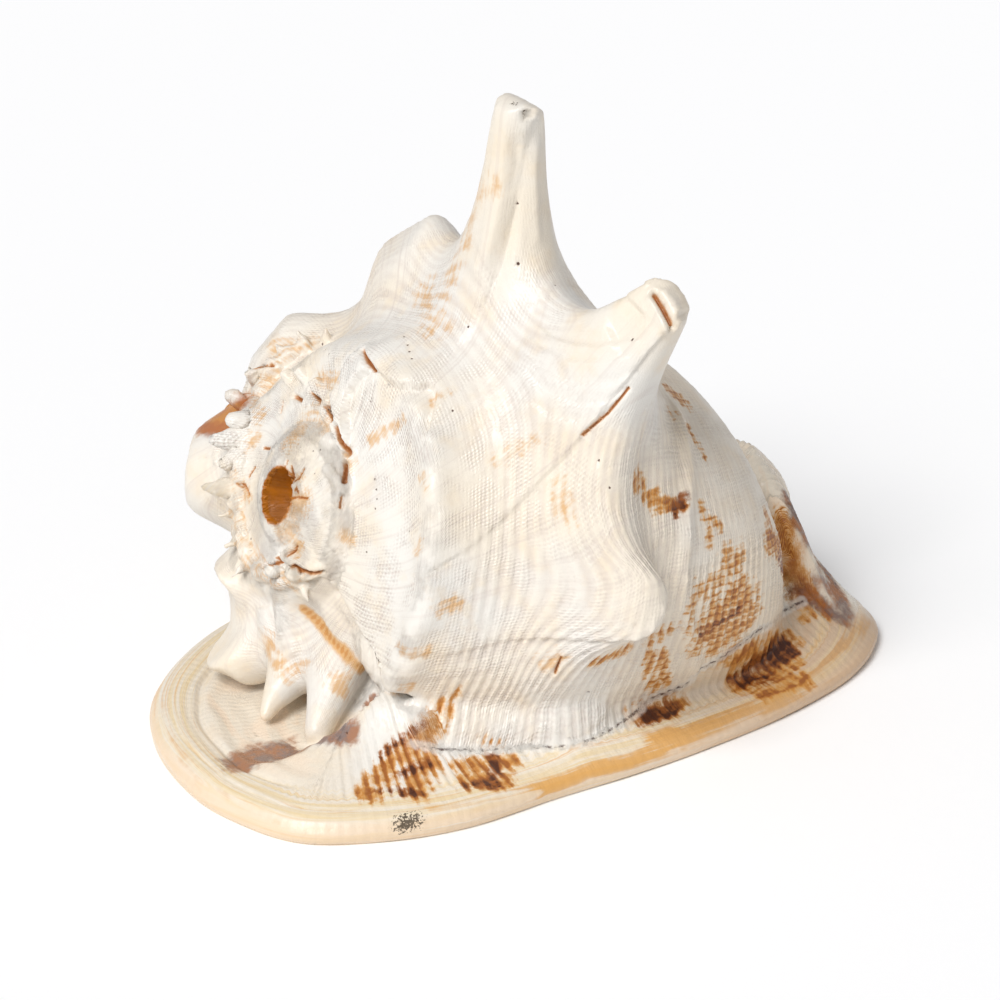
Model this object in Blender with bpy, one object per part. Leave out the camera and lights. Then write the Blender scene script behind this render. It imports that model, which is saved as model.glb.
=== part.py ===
"""Horned helmet shell, lying on its mouth.

The shell is one grown piece: a coiled body on a tilted axis, a row of horns on
its shoulder, a thick lip and shield that spread into a flat base, a front
canal turned up like a spout, and the hollow that the animal lived in, open
below and at the worn tip of the spire.  x points to the canal, y to the
shield, z up.
"""

from math import cos, pi, radians, sin

import bmesh
import bpy
import numpy as np

MM = 0.001

# Place of the body over its base: the tip of the spire, and the coiling axis,
# which rises towards the tip.  All sizes are in millimetres until the end.
BASE_CENTRE = np.array((90.5, 79.1, 0.0))
APEX = np.array((15.6, 92.7, 75.0))
AXIS_TILT = radians(18.0)
AXIS = np.array((-cos(AXIS_TILT), 0.0, sin(AXIS_TILT)))
BACK = np.array((sin(AXIS_TILT), 0.0, cos(AXIS_TILT)))
SIDE = np.array((0.0, -1.0, 0.0))

# Growth: each whorl is WHORL_RATIO times as large as the one before it, and
# the last one ends at the lip, LIP_ANGLE round from the top of the back.
WHORL_RATIO = 2.4
LIP_ANGLE = 126.0
TURN = 360.0

# The last whorl's outline at the lip, as distance from the axis and distance
# behind the tip: suture, spire ridge, shoulder, then the long front slope.
SUTURE = (31.2, 16.0)
RIDGE = (65.0, 26.0)
SHOULDER = (100.0, 69.0)
FRONT_SLOPE = ((98.0, 86.0), (95.0, 104.0), (88.0, 131.0), (81.0, 150.0), (69.0, 166.0), (50.0, 177.0), (12.0, 184.0))

# The whorl is drawn in where it nears the lip, and where the shield backs it.
LIP_DRAW = 0.20
SHIELD_DRAW = 0.13
LIP_ROUNDING = 0.06

# Horns and knobs: foot on the whorl and tip, each as angle, radius and
# distance behind the tip, then tip radius, reach of the foot and flare.
HORNS = {
    "top": ((10, 73, 56), (9, 134, 35), 7.6, 60, 18.5),
    "lip": ((45, 80, 58), (40, 122, 63), 8.5, 54, 19.0),
    "lip_knob": ((85, 83, 63), (85, 93, 74), 7.0, 34, 15.0),
    "back_knob": ((-22, 67, 47), (-23, 81, 46), 10.0, 33, 17.0),
    "shield_knob": ((-63, 59, 39), (-64, 69, 27), 7.0, 30, 15.0),
    "swelling": ((-98, 53, 41), (-104, 67, 15), 10.0, 56, 24.0),
    "rear_fold": ((-148, 43, 26), (-150, 47, 10), 9.0, 30, 12.0),
    "rear_lobe": ((-162, 45, 32), (-167, 60, 14), 9.0, 28, 16.0),
    "rear_claw": ((178, 43, 28), (167, 66, 11), 3.2, 24, 17.0),
    "lip_claw": ((157, 44, 31), (152, 71, 18), 3.2, 25, 17.0),
}

# Base plate: its edge seen from above, and the line that it closes to.
PLATE_EDGE = (
    (-28, 62), (-25, 42), (-14, 19), (8, 7), (33, 2), (62, 4), (90, 5), (121, 9),
    (152, 15), (180, 25), (198, 38), (208, 54), (207, 78), (194, 110), (168, 136),
    (132, 153), (94, 159), (56, 156), (25, 146), (2, 131), (-15, 112), (-25, 88),
)
PLATE_SPINE = ((42.0, 80.0), (150.0, 78.0))
CONTACT_STRIP = (3.0, 12.0)
LIP_STEP = ((52, 76, 104, 131, 183), (24, 11, 17, 22, 30))
BELLY_RISE = 4.0

# The spout at the front: centre, half width and half thickness along its way.
SPOUT = ((136, 84, 30, 30, 14), (158, 84, 31, 29, 15), (172, 84, 35, 26, 13), (178, 85, 43, 21, 11), (174, 87, 53, 16, 8))

# The side of the canal, which joins the spout to the plate, in the same terms.
CANAL_WALL = (
    (172, 80, 54, 10, 8), (177, 75, 46, 12, 7), (180, 69, 36, 13, 6), (183, 63, 26, 13, 5), (188, 58, 14, 11, 5),
)

# The canal's opening in the spout, in the same terms.
CHANNEL = ((174, 84, 36, 8, 4), (175, 86, 44, 9, 4), (172, 88, 53, 9, 4), (167, 90, 64, 10, 5))

WALL = 6.0
APEX_HOLE_RADIUS = 8.4
APEX_HOLE_DEPTH = 34.0

VOXEL = 1.4
TRIANGLE_BUDGET = 9400


def growth(angle):
    """Size of the last whorl at an angle, as a share of its size at the lip."""
    return WHORL_RATIO ** (((angle - LIP_ANGLE) % TURN) / TURN - 1.0)


def place(angle, radius, behind):
    """Points at an angle round the axis, a radius from it and behind the tip."""
    turn = np.radians(angle)
    across = np.multiply.outer(radius * np.cos(turn), BACK) + np.multiply.outer(radius * np.sin(turn), SIDE)
    return APEX - np.multiply.outer(behind, AXIS) + across


def through(points, steps, closed=False):
    """Points of a smooth Catmull-Rom curve through the given ones."""
    known = np.array(points, float)
    count = len(known)
    curve = []
    for i in range(count if closed else count - 1):
        near = [k % count if closed else min(max(k, 0), count - 1) for k in (i - 1, i, i + 1, i + 2)]
        p0, p1, p2, p3 = known[near]
        for t in np.arange(steps) / steps:
            bend = (2 * p0 - 5 * p1 + 4 * p2 - p3) * t ** 2 + (3 * p1 - p0 - 3 * p2 + p3) * t ** 3
            curve.append(0.5 * (2 * p1 + (p2 - p0) * t + bend))
    if not closed:
        curve.append(known[-1])
    return np.array(curve)


def unit(vector):
    """A vector of length one."""
    return vector / np.linalg.norm(vector)


def new_object(name, mesh_data):
    """Make an object from a bmesh and put it in the scene."""
    bmesh.ops.recalc_face_normals(mesh_data, faces=mesh_data.faces)
    mesh = bpy.data.meshes.new(name)
    mesh_data.to_mesh(mesh)
    mesh_data.free()
    made = bpy.data.objects.new(name, mesh)
    bpy.context.scene.collection.objects.link(made)
    return made


def loft(name, rings):
    """Skin closed rings of points, each with as many points as the next."""
    built = bmesh.new()
    rows = [[built.verts.new(point) for point in ring] for ring in rings]
    for near, far in zip(rows, rows[1:]):
        count = len(near)
        for i in range(count):
            j = (i + 1) % count
            built.faces.new((near[i], near[j], far[j], far[i]))
    built.faces.new(rows[0])
    built.faces.new(rows[-1])
    return new_object(name, built)


def profile(angle):
    """Radius and distance behind the tip, along the shell from tip to canal."""
    size = growth(angle)
    drawn = 1.0 - LIP_DRAW * np.interp(angle, (72, 118), (0, 1))
    drawn -= SHIELD_DRAW * np.interp(angle, (-180, -150, -105, -70), (0, 1, 1, 0))
    rounded = LIP_ROUNDING * np.interp(angle, (88, 112), (0, 1))
    stations = [(0.0, 1.2)]
    for whorl in (2, 1):
        small = size / WHORL_RATIO ** whorl
        stations.append((RIDGE[0] * small, RIDGE[1] * small))
        stations.append((SUTURE[0] * small * WHORL_RATIO, SUTURE[1] * small * WHORL_RATIO))
    stations.append((0.5 * (SUTURE[0] + RIDGE[0]) * size, 0.49 * (SUTURE[1] + RIDGE[1]) * size))
    stations.append((RIDGE[0] * size, RIDGE[1] * size))
    half_drawn = 0.5 * (1.0 + drawn)
    between = (0.47 * (RIDGE[0] + SHOULDER[0]) * half_drawn, 0.53 * (RIDGE[1] + SHOULDER[1]))
    stations.append((between[0] * (1 + rounded) * size, between[1] * size))
    stations.append((SHOULDER[0] * (1 - rounded) * 0.5 * (half_drawn + drawn) * size, SHOULDER[1] * size))
    for radius, behind in FRONT_SLOPE:
        stations.append((radius * drawn * size, behind * size))
    return through(stations, 9)


def raised(points, foot, tip, tip_radius, reach, flare):
    """Draw the surface near a foot out into a horn with a spread base."""
    start = place(*foot)
    way = place(*tip) - start
    length = np.linalg.norm(way)
    away = np.linalg.norm(points - start, axis=-1)
    spread = np.clip((away - tip_radius) / (reach - tip_radius), 1e-3, 1.0)
    height = flare * (spread - 1.0 - np.log(spread))
    height = height / (1.0 + (height / length) ** 4) ** 0.25
    return points + height[..., None] * (way / length)


def horn_angles():
    """Angles of the body's sections, closer together at the horns."""
    angles = [LIP_ANGLE - TURN - 4.0]
    while angles[-1] < LIP_ANGLE:
        nearest = min(abs(angles[-1] - horn[0][0]) for horn in HORNS.values())
        angles.append(angles[-1] + float(np.interp(nearest, (8, 16), (0.7, 2.5))))
    return np.array(angles[:-1] + [LIP_ANGLE])


def body():
    """The coiled body, as wedges round the axis from lip to lip."""
    angles = horn_angles()
    first = LIP_ANGLE - TURN + 0.01
    outlines = np.array([profile(float(np.clip(angle, first, LIP_ANGLE - 0.01))) for angle in angles])
    spots = place(angles[:, None] * np.ones(outlines.shape[1]), outlines[..., 0], outlines[..., 1])
    for horn in HORNS.values():
        spots = raised(spots, *horn)
    axis_ends = APEX - np.multiply.outer(outlines[:, -1, 1], AXIS)
    return loft("body", np.concatenate([spots, axis_ends[:, None]], axis=1))


def ridge_beads():
    """Beads along the spire's ridge, growing with the whorl."""
    made = []
    for i in range(31):
        angle = 120.0 - 17.0 * i
        size = WHORL_RATIO ** ((angle - LIP_ANGLE) / TURN)
        bead = bmesh.new()
        bmesh.ops.create_icosphere(bead, subdivisions=2, radius=max(4.6 * size, 1.6))
        bmesh.ops.translate(bead, verts=bead.verts, vec=place(angle, 0.95 * RIDGE[0] * size, RIDGE[1] * size))
        made.append(new_object("bead", bead))
    return made


def plate_top(direction, inset, spot):
    """Height of the plate's upper side, inset from its edge."""
    lip = max(0.0, -sin(direction)) ** 0.7
    rear = max(0.0, -cos(direction)) ** 1.5
    shield = max(0.0, sin(direction))
    front = max(0.0, cos(direction)) ** 2
    step = np.interp(spot[0], *LIP_STEP)
    rise = np.interp(spot[0], (40, 76), (0, 1))
    lip_height = (1 - rise) * np.interp(inset, (0, 2.5, 8, 14, 26, 44, 60), (3.5, 7.0, 8.5, 10.5, 15, 22, 30))
    lip_height += rise * np.interp(inset / step, (0, 0.2, 0.6, 1, 1.25, 1.7, 2.5), (3.5, 7.0, 8.5, 10.5, 17, 34, 58))
    rear_height = np.interp(inset, (0, 3, 8, 16, 28, 50, 75), (4.0, 8.5, 9.5, 8.5, 7.0, 8.0, 20))
    shield_height = np.interp(inset, (0, 3, 10, 20, 30, 42, 60), (3.5, 8.0, 10.5, 16, 26, 40, 48))
    front_height = np.interp(inset, (0, 3, 7, 13, 18, 22, 28, 34, 42, 60), (3.5, 8, 13, 23, 33, 42, 50, 55, 58, 60))
    height = lip * lip_height + rear * rear_height + shield * shield_height + front * front_height
    height /= lip + rear + shield + front
    height += np.interp(spot[1], (22, 40, 49, 54), (0, 6, 7, 0)) * np.interp(spot[0], (18, 30, 70, 95), (0, 1, 1, 0))
    tray = np.interp(spot[1], (50, 57), (0, 1)) * np.interp(spot[0], (30, 42), (1, 0))
    return float((1 - tray) * height + tray * rear_height)


def plate_rings(insets, height_at):
    """Rings of the plate, inset from its edge towards its spine."""
    spine = np.array(PLATE_SPINE)
    rings = []
    for inset in insets:
        ring = []
        for point in through(PLATE_EDGE, 5, closed=True):
            share = np.clip((point[0] - spine[0, 0]) / (spine[1, 0] - spine[0, 0]), 0, 1)
            toward = spine[0] + share * (spine[1] - spine[0]) - point
            span = np.linalg.norm(toward)
            depth = min(inset, 0.97 * span)
            spot = point + toward / span * depth
            direction = np.arctan2(-toward[1], -toward[0])
            ring.append((spot[0], spot[1], height_at(direction, depth, spot)))
        rings.append(ring)
    return rings


def plate():
    """The lip and the shield, spread into one flat-footed plate."""
    strip_out, strip_in = CONTACT_STRIP

    def belly(direction, inset, spot):
        """Height of the plate's lower side, which overshoots the ground."""
        return float(np.interp(inset, (0.6, strip_out, strip_in, 24, 40), (1.0, -1.2, -1.2, 3.5, BELLY_RISE)))

    top = plate_rings((70, 62, 56, 50, 45, 40, 35, 30, 26, 22, 18, 14, 11, 8, 5, 2.6, 1.0, 0.0), plate_top)
    bottom = plate_rings((0.6, strip_out, strip_in, 18, 26, 38, 56, 70), belly)
    return loft("plate", top + bottom)


def tube(name, stations, sides=20):
    """A tube through stations of centre, half width and half thickness."""
    way = through(stations, 4)
    rings = []
    for i, station in enumerate(way):
        ahead = unit((way[min(i + 1, len(way) - 1)] - way[max(i - 1, 0)])[:3])
        level = unit(np.cross((0.0, 1.0, 0.0), ahead)) if abs(ahead[1]) < 0.9 else BACK
        across = np.cross(ahead, level)
        turns = 2 * pi * np.arange(sides) / sides
        ring = station[:3] + np.multiply.outer(np.cos(turns) * station[3], across)
        rings.append(ring + np.multiply.outer(np.sin(turns) * station[4], level))
    return loft(name, rings)


def hollow():
    """The room inside the last whorl, round a central pillar."""
    rings = []
    for angle in np.arange(LIP_ANGLE - 228.0, LIP_ANGLE - 17.0, 6.0):
        size = growth(min(angle, LIP_ANGLE - 0.01))
        drawn = 1.0 - LIP_DRAW * np.interp(angle, (72, 118), (0, 1))
        outer = (RIDGE, SHOULDER, FRONT_SLOPE[1], FRONT_SLOPE[2], (52.0, 160.0))
        room = [(26 * size + 4, 24 * size + WALL)]
        for radius, behind in outer:
            room.append((max(radius * drawn * size - WALL * 1.6, 18), behind * size + WALL * (behind < 70)))
        room.append((18 * size + 2, 160 * size))
        rings.append([place(angle, radius, behind) for radius, behind in room])
    return loft("hollow", rings)


def mouth():
    """The long opening under the shell, between lip and shield."""
    way = through(((44, 50, 7), (66, 44, 14), (110, 49, 15), (146, 60, 13), (164, 70, 9)), 5)
    rings = []
    for height in (-6.0, 44.0):
        near = [(x, y - 0.5 * width, height) for x, y, width in way]
        far = [(x, y + 0.5 * width, height) for x, y, width in way[::-1]]
        rings.append(near + far)
    return loft("mouth", rings)


def tip_hole():
    """The worn hole at the tip of the spire, narrowing inwards."""
    rings = []
    for behind, radius in ((-8.0, APEX_HOLE_RADIUS), (6.0, APEX_HOLE_RADIUS - 0.4), (APEX_HOLE_DEPTH, 5.0)):
        rings.append([place(10.0 + 20.0 * i, radius, behind) for i in range(18)])
    return loft("tip_hole", rings)


def ground():
    """A block below the floor, which trims the foot flat."""
    block = bmesh.new()
    bmesh.ops.create_cube(block, size=1.0)
    bmesh.ops.scale(block, verts=block.verts, vec=(400, 400, 40))
    bmesh.ops.translate(block, verts=block.verts, vec=(90, 80, -20))
    return new_object("ground", block)


def removed(piece):
    """Take an object and its mesh out of the file."""
    mesh = piece.data
    bpy.data.objects.remove(piece)
    bpy.data.meshes.remove(mesh)


def join(pieces, name):
    """Join objects into one new object."""
    joined = bmesh.new()
    for piece in pieces:
        joined.from_mesh(piece.data)
        removed(piece)
    return new_object(name, joined)


def applied(piece):
    """Put the result of an object's modifiers into its mesh."""
    graph = bpy.context.evaluated_depsgraph_get()
    result = bpy.data.meshes.new_from_object(piece.evaluated_get(graph))
    piece.modifiers.clear()
    piece.data = result
    return piece


def fuse(piece, voxel):
    """Fuse overlapping forms to one skin and soften the joins."""
    remesh = piece.modifiers.new("fuse", "REMESH")
    remesh.mode = "VOXEL"
    remesh.voxel_size = voxel
    soften = piece.modifiers.new("soften", "SMOOTH")
    soften.factor = 0.5
    soften.iterations = 4
    return applied(piece)


def cut(piece, cutter):
    """Take a cutter's volume out of a piece."""
    boolean = piece.modifiers.new("cut", "BOOLEAN")
    boolean.operation = "DIFFERENCE"
    boolean.solver = "EXACT"
    boolean.object = cutter
    applied(piece)
    removed(cutter)
    return piece


def thin(piece, triangles):
    """Reduce a piece to a number of triangles."""
    piece.data.calc_loop_triangles()
    reduce = piece.modifiers.new("thin", "DECIMATE")
    reduce.ratio = triangles / len(piece.data.loop_triangles)
    reduce.use_collapse_triangulate = True
    return applied(piece)


def shell_material():
    """Cream-white glossy shell."""
    material = bpy.data.materials.new("cream_shell")
    material.use_nodes = True
    shader = material.node_tree.nodes["Principled BSDF"]
    shader.inputs["Base Color"].default_value = (0.80, 0.71, 0.60, 1.0)
    shader.inputs["Roughness"].default_value = 0.35
    shader.inputs["Metallic"].default_value = 0.0
    return material


def main():
    for existing in list(bpy.data.objects):
        bpy.data.objects.remove(existing)
    forms = [body(), plate(), tube("spout", SPOUT), tube("canal_wall", CANAL_WALL)]
    shell = fuse(join(forms + ridge_beads(), "shell"), VOXEL)
    thin(shell, 2.2 * TRIANGLE_BUDGET)
    inside = fuse(join([hollow(), mouth(), tube("canal", CHANNEL)], "inside"), VOXEL)
    thin(inside, 2500)
    cut(shell, inside)
    cut(shell, tip_hole())
    cut(shell, ground())
    thin(shell, TRIANGLE_BUDGET)
    for vertex in shell.data.vertices:
        vertex.co = [(value - centre) * MM for value, centre in zip(vertex.co, BASE_CENTRE)]
    shell.data.materials.clear()
    shell.data.materials.append(shell_material())
    shell.data.shade_smooth()


main()
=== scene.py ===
"""The looks of a horned helmet shell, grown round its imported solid.

The shell's surface is modelled again, finer than the solid: the coiled body on
its tilted axis, the horns, the lip and the shield, and then the ribs, growth
lines, creases, worn teeth, slits and pits that lie on them.  Lengths in the
modelling functions are millimetres, and the finished piece is in metres.
"""

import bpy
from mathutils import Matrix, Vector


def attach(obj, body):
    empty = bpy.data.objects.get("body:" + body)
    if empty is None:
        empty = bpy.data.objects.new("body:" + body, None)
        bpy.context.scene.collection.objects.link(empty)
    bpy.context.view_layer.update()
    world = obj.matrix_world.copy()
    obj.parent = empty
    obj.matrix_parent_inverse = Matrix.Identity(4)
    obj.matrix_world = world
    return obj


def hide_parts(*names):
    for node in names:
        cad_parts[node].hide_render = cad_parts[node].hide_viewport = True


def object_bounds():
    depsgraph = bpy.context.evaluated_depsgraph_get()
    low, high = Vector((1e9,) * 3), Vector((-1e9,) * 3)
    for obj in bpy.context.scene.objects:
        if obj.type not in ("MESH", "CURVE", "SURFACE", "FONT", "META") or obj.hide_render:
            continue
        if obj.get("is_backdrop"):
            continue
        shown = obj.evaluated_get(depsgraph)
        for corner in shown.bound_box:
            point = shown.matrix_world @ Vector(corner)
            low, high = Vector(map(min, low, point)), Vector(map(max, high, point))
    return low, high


bl_info = {
    "name": "Horned Helmet Shell",
    "version": (1, 0, 0),
    "blender": (4, 5, 0),
    "location": "View3D > Sidebar > Shell",
    "description": "Grows the detailed shell round its solid and sets up a studio for it",
    "category": "Add Mesh",
}

from math import cos, pi, radians, sin
from types import SimpleNamespace

import bmesh
import bpy
import numpy as np
from bpy.props import FloatProperty, FloatVectorProperty, IntProperty, PointerProperty
from bpy.types import Operator, Panel, PropertyGroup
from mathutils import Vector
from mathutils.bvhtree import BVHTree

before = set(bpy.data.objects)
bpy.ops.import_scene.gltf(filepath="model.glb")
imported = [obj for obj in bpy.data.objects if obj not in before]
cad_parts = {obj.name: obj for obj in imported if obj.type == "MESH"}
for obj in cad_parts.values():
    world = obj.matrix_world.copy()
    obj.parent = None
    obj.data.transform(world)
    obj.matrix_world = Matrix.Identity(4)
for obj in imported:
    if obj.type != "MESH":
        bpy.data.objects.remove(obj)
CAD_LOW, CAD_HIGH = (np.array(corner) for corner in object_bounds())

MM = 0.001

# Studio: the camera's turn and rise round a centre in millimetres, its distance
# in metres and its lens, the floor, the sky and the one large light.
VIEW = (radians(-30.0), radians(25.0))
VIEW_CENTRE = np.array((88.0, 80.0, 61.5))
VIEW_DISTANCE = 1.5
LENS = 180.0
FLOOR_REACH, FLOOR_COLOUR = 4.0, (0.985, 0.985, 0.985)
SKY_COLOUR, SKY_STRENGTH = (0.98, 0.98, 1.0), 0.38
KEY_FROM, KEY_STRENGTH, KEY_SOFTNESS = (-1.3, -0.7, 1.55), 2.8, radians(30.0)

# Place of the body over its base: the tip of the spire, and the coiling axis,
# which rises towards the tip.
BASE_CENTRE = np.array((90.5, 79.1, 0.0))
APEX = np.array((15.6, 92.7, 75.0))
AXIS_TILT = radians(18.0)
AXIS = np.array((-cos(AXIS_TILT), 0.0, sin(AXIS_TILT)))
BACK = np.array((sin(AXIS_TILT), 0.0, cos(AXIS_TILT)))
SIDE = np.array((0.0, -1.0, 0.0))

# Each whorl is so many times the size of the one before it.  Angles run with
# the growth, and the last whorl ends at the lip.
WHORL_RATIO = 2.4
LIP_ANGLE = 126.0
TURN = 360.0

# The last whorl's outline at the lip: distance from the axis and behind the tip.
SUTURE = (31.2, 16.0)
RIDGE = (65.0, 26.0)
SHOULDER = (100.0, 69.0)
FRONT_SLOPE = (
    (98.0, 86.0), (95.0, 104.0), (88.0, 131.0), (81.0, 150.0), (69.0, 166.0), (50.0, 177.0),
    (12.0, 184.0),
)

# Stations count the outline's corners from the tip, with steps between them.
# These are the corners of the last whorl.
STEPS_PER_STATION = 9
SUTURE_AT, RIDGE_AT, SHOULDER_AT = 4.0, 6.0, 8.0

# How far the outline is drawn in by the lip and over the shield, and rounded
# off at the lip, as shares, and the angles over which each comes in.
LIP_DRAW, LIP_DRAW_ANGLES = 0.20, (72, 118)
SHIELD_DRAW, SHIELD_DRAW_ANGLES = 0.13, (-180, -150, -105, -70)
LIP_ROUNDING, LIP_ROUNDING_ANGLES = 0.06, (88, 112)

# Horns and knobs: foot and tip, each as angle, radius and distance behind the
# tip of the spire, then tip radius, reach of the foot and flare.
HORNS = {
    "top": ((10, 73, 56), (9, 134, 35), 7.6, 60, 18.5),
    "lip": ((45, 80, 58), (40, 122, 63), 8.5, 54, 19.0),
    "lip_knob": ((85, 83, 63), (85, 93, 74), 7.0, 34, 15.0),
    "back_knob": ((-22, 67, 47), (-23, 81, 46), 10.0, 33, 17.0),
    "shield_knob": ((-63, 59, 39), (-64, 69, 27), 7.0, 30, 15.0),
    "swelling": ((-98, 53, 41), (-104, 67, 15), 10.0, 56, 24.0),
    "rear_fold": ((-148, 43, 26), (-150, 47, 10), 9.0, 30, 12.0),
    "rear_lobe": ((-162, 45, 32), (-167, 60, 14), 9.0, 28, 16.0),
    "rear_claw": ((178, 43, 28), (167, 66, 11), 3.2, 24, 17.0),
    "lip_claw": ((157, 44, 31), (152, 71, 18), 3.2, 25, 17.0),
}

# Base plate: its edge seen from above, the line that it closes to, the steps
# between the edge's points, the points by which the count round it is shifted,
# which puts its seam at the back, and the insets of its rings.
PLATE_EDGE = (
    (-28, 62), (-25, 42), (-14, 19), (8, 7), (33, 2), (62, 4), (90, 5), (121, 9),
    (152, 15), (180, 25), (198, 38), (208, 54), (207, 78), (194, 110), (168, 136),
    (132, 153), (94, 159), (56, 156), (25, 146), (2, 131), (-15, 112), (-25, 88),
)
PLATE_SPINE = ((42.0, 80.0), (150.0, 78.0))
EDGE_STEPS = 12
SEAM_SHIFT = 5
TOP_INSETS = (70, 62, 56, 50, 45, 40, 35, 30, 26, 22, 18, 14, 11, 8, 5, 2.6, 1.0, 0.0)
FOOT_INSETS = (0.6, 3.0, 12.0, 18, 26, 38, 56, 70)

# Height over the floor, inset from the edge: of the lip where it lies low and
# where it stands off the whorl in a step, whose inset changes along it, of the
# rear, the shield and the front, and of the foot, which overshoots the floor.
LOW_LIP = ((0, 2.5, 8, 14, 26, 44, 60), (3.5, 7.0, 8.5, 10.5, 15, 22, 30))
STEPPED_LIP = ((0, 0.2, 0.6, 1, 1.25, 1.7, 2.5), (3.5, 7.0, 8.5, 10.5, 17, 34, 58))
LIP_STEP = ((52, 76, 104, 131, 183), (24, 11, 17, 22, 30))
REAR = ((0, 3, 8, 16, 28, 50, 75), (4.0, 8.5, 9.5, 8.5, 7.0, 8.0, 20))
SHIELD = ((0, 3, 10, 20, 30, 42, 60), (3.5, 8.0, 10.5, 16, 26, 40, 48))
FRONT = ((0, 3, 7, 13, 18, 22, 28, 34, 42, 60), (3.5, 8, 13, 23, 33, 42, 50, 55, 58, 60))
FOOT = ((0.6, 3.0, 12.0, 24, 40), (1.0, -1.2, -1.2, 3.5, 4.0))

# The turned-up canal, the bore in it and the wall beside it, as centre, half
# width and half thickness.
SPOUT = (
    (136, 84, 30, 30, 14), (158, 84, 31, 29, 15), (172, 84, 35, 26, 13), (178, 85, 43, 21, 11),
    (174, 87, 53, 16, 8),
)
CHANNEL = ((174, 84, 36, 8, 4), (175, 86, 44, 9, 4), (172, 88, 53, 9, 4), (167, 90, 64, 10, 5))
CANAL_WALL = (
    (172, 80, 54, 10, 8), (177, 75, 46, 12, 7), (180, 69, 36, 13, 6), (183, 63, 26, 13, 5),
    (188, 58, 14, 11, 5),
)

# The slope that fills the join between the last whorl and the lip.
SEAM_FILL = (
    (26, 46, 20, 5, 5), (34, 41, 20, 6, 6), (42, 35, 18.5, 7, 6), (53, 30, 16, 7, 6),
    (64, 26, 14.5, 6, 6), (76, 22.5, 15.5, 6, 6), (90, 23, 16, 5, 5),
)

# The worn ridge of the older whorl: a lumpy band, teeth as root, tip and
# half width, and the webs that join the claws to the ramp.
BAND = (
    (54, 136, 99), (48.5, 138.5, 95.5), (42.5, 140, 89), (37.5, 138, 83), (30, 129.5, 78),
    (25.5, 126, 71), (22.5, 122.5, 64), (20.5, 119.5, 56.5), (18, 112.5, 51), (17, 102.5, 47),
    (17.5, 88.5, 48.5), (19, 77, 53),
)
TEETH = (
    ((42, 144, 85.5), (38, 145, 91), 2.9), ((38, 141.5, 80), (31.5, 143.5, 83.5), 2.9),
    ((30.5, 130.5, 79.5), (25, 131, 82), 2.9), ((29, 128.5, 76), (19.5, 130.5, 77), 2.9),
    ((26.5, 126.5, 72), (20, 126, 71), 2.9), ((24, 122.5, 63), (13.5, 126, 64.5), 2.9),
    ((21.5, 120.5, 56.5), (15, 120.5, 57), 2.3), ((19, 113.5, 51.5), (12.5, 113, 50.5), 2.3),
    ((18, 106, 48), (11, 104.5, 45), 2.3), ((48, 141, 95), (45, 141, 98.5), 2.3),
    ((53, 138, 97.5), (51, 138, 102.5), 2.3), ((57.5, 132.5, 99.5), (57, 131.5, 104.5), 2.3),
    ((38, 120, 97), (39.5, 113.5, 91.5), 1.9), ((39, 112, 100.5), (41, 105, 94.5), 1.9),
    ((38.5, 101, 101), (40.5, 93.5, 94), 1.9), ((36.5, 89.5, 96.5), (37.5, 82.5, 89.5), 1.9),
    ((32, 81.5, 90.5), (34, 74.5, 84.5), 1.9), ((28.5, 75.5, 85.5), (30.5, 68.5, 79.5), 1.9),
    ((19.5, 87.5, 55.5), (14.5, 86.5, 53), 1.9), ((19, 80.5, 58), (26.5, 71, 53), 1.9),
    ((19, 79, 53.5), (19, 73, 47.5), 1.9),
)
WEBS = (
    ((22, 90, 44, 6, 6), (21, 87, 32, 5, 5), (19, 81, 25, 3, 3)),
    ((31, 75, 45, 7, 7), (31, 70, 35.5, 6, 6), (30, 65, 27, 3, 3)),
    ((34, 72, 50, 9, 9), (37, 66, 40, 9, 9), (36, 56, 31, 7, 7), (36, 49, 24, 4, 4)),
    ((21, 98, 34, 6, 6), (19, 95, 26, 5, 5), (18, 96, 17, 3, 3)),
)

# The worn hole at the tip: its radius and, along it, distance behind the tip
# and how much wider it is.
HOLE_RADIUS = 8.4
HOLE = ((-8.0, 0.0), (0.0, 0.0), (2.0, -0.1), (4.0, -0.2), (6.0, -0.4), (34.0, -3.4))

# The inside: how far back from the lip its room begins and ends, and the
# opening under the shell, as place and width.
ROOM = (228.0, 17.0)
MOUTH = ((44, 50, 7), (66, 44, 14), (110, 49, 15), (146, 60, 13), (164, 70, 9))
INSIDE_VOXEL = 1.4
INSIDE_TRIANGLES = 6000

# Points that are slit or pit by more than this share keep all their triangles.
SPARED_FROM = 0.02

# Spacing of the spiral ribs, and the slant of the growth lines in degrees for
# each station, before the shoulder and past it.
RIB_SPACING = 3.6
SLANT = (13.0, 4.0)

# Soft boxes, as axis and the values between which each side fades in: where
# the lip's seam bounds the plate, the tray under the claws, and the body's top
# at the left of the canal, where nothing belongs to the plate.
SEAM_BOX = ((0, 30, 40), (0, 182, 172), (1, 62, 52))
TRAY_BOX = ((0, 40, 24), (1, 30, 44), (2, 14, 11), (1, 150, 138), (2, 3, 5))
BODY_BOX = ((2, 60, 70), (0, 165, 150))

# The middle of the canal's glaze.
GLAZE = ((170, 80, 66), (180, 76, 52), (186, 72, 38), (194, 62, 20))

# What the mesh stores for the finish at each point, three numbers together.
MEASURES = {
    "flow": ("rib", "age", "station"),
    "edge": ("inset", "round_rib", "plate"),
    "stains": ("brown", "dark", "tan"),
    "tints": ("orange", "purple", "peach"),
    "wear": ("grey", "crack", "inner"),
    "more": ("rust", "sooty", "horn"),
    "fine": ("slit", "pit", "streak"),
}

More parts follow.
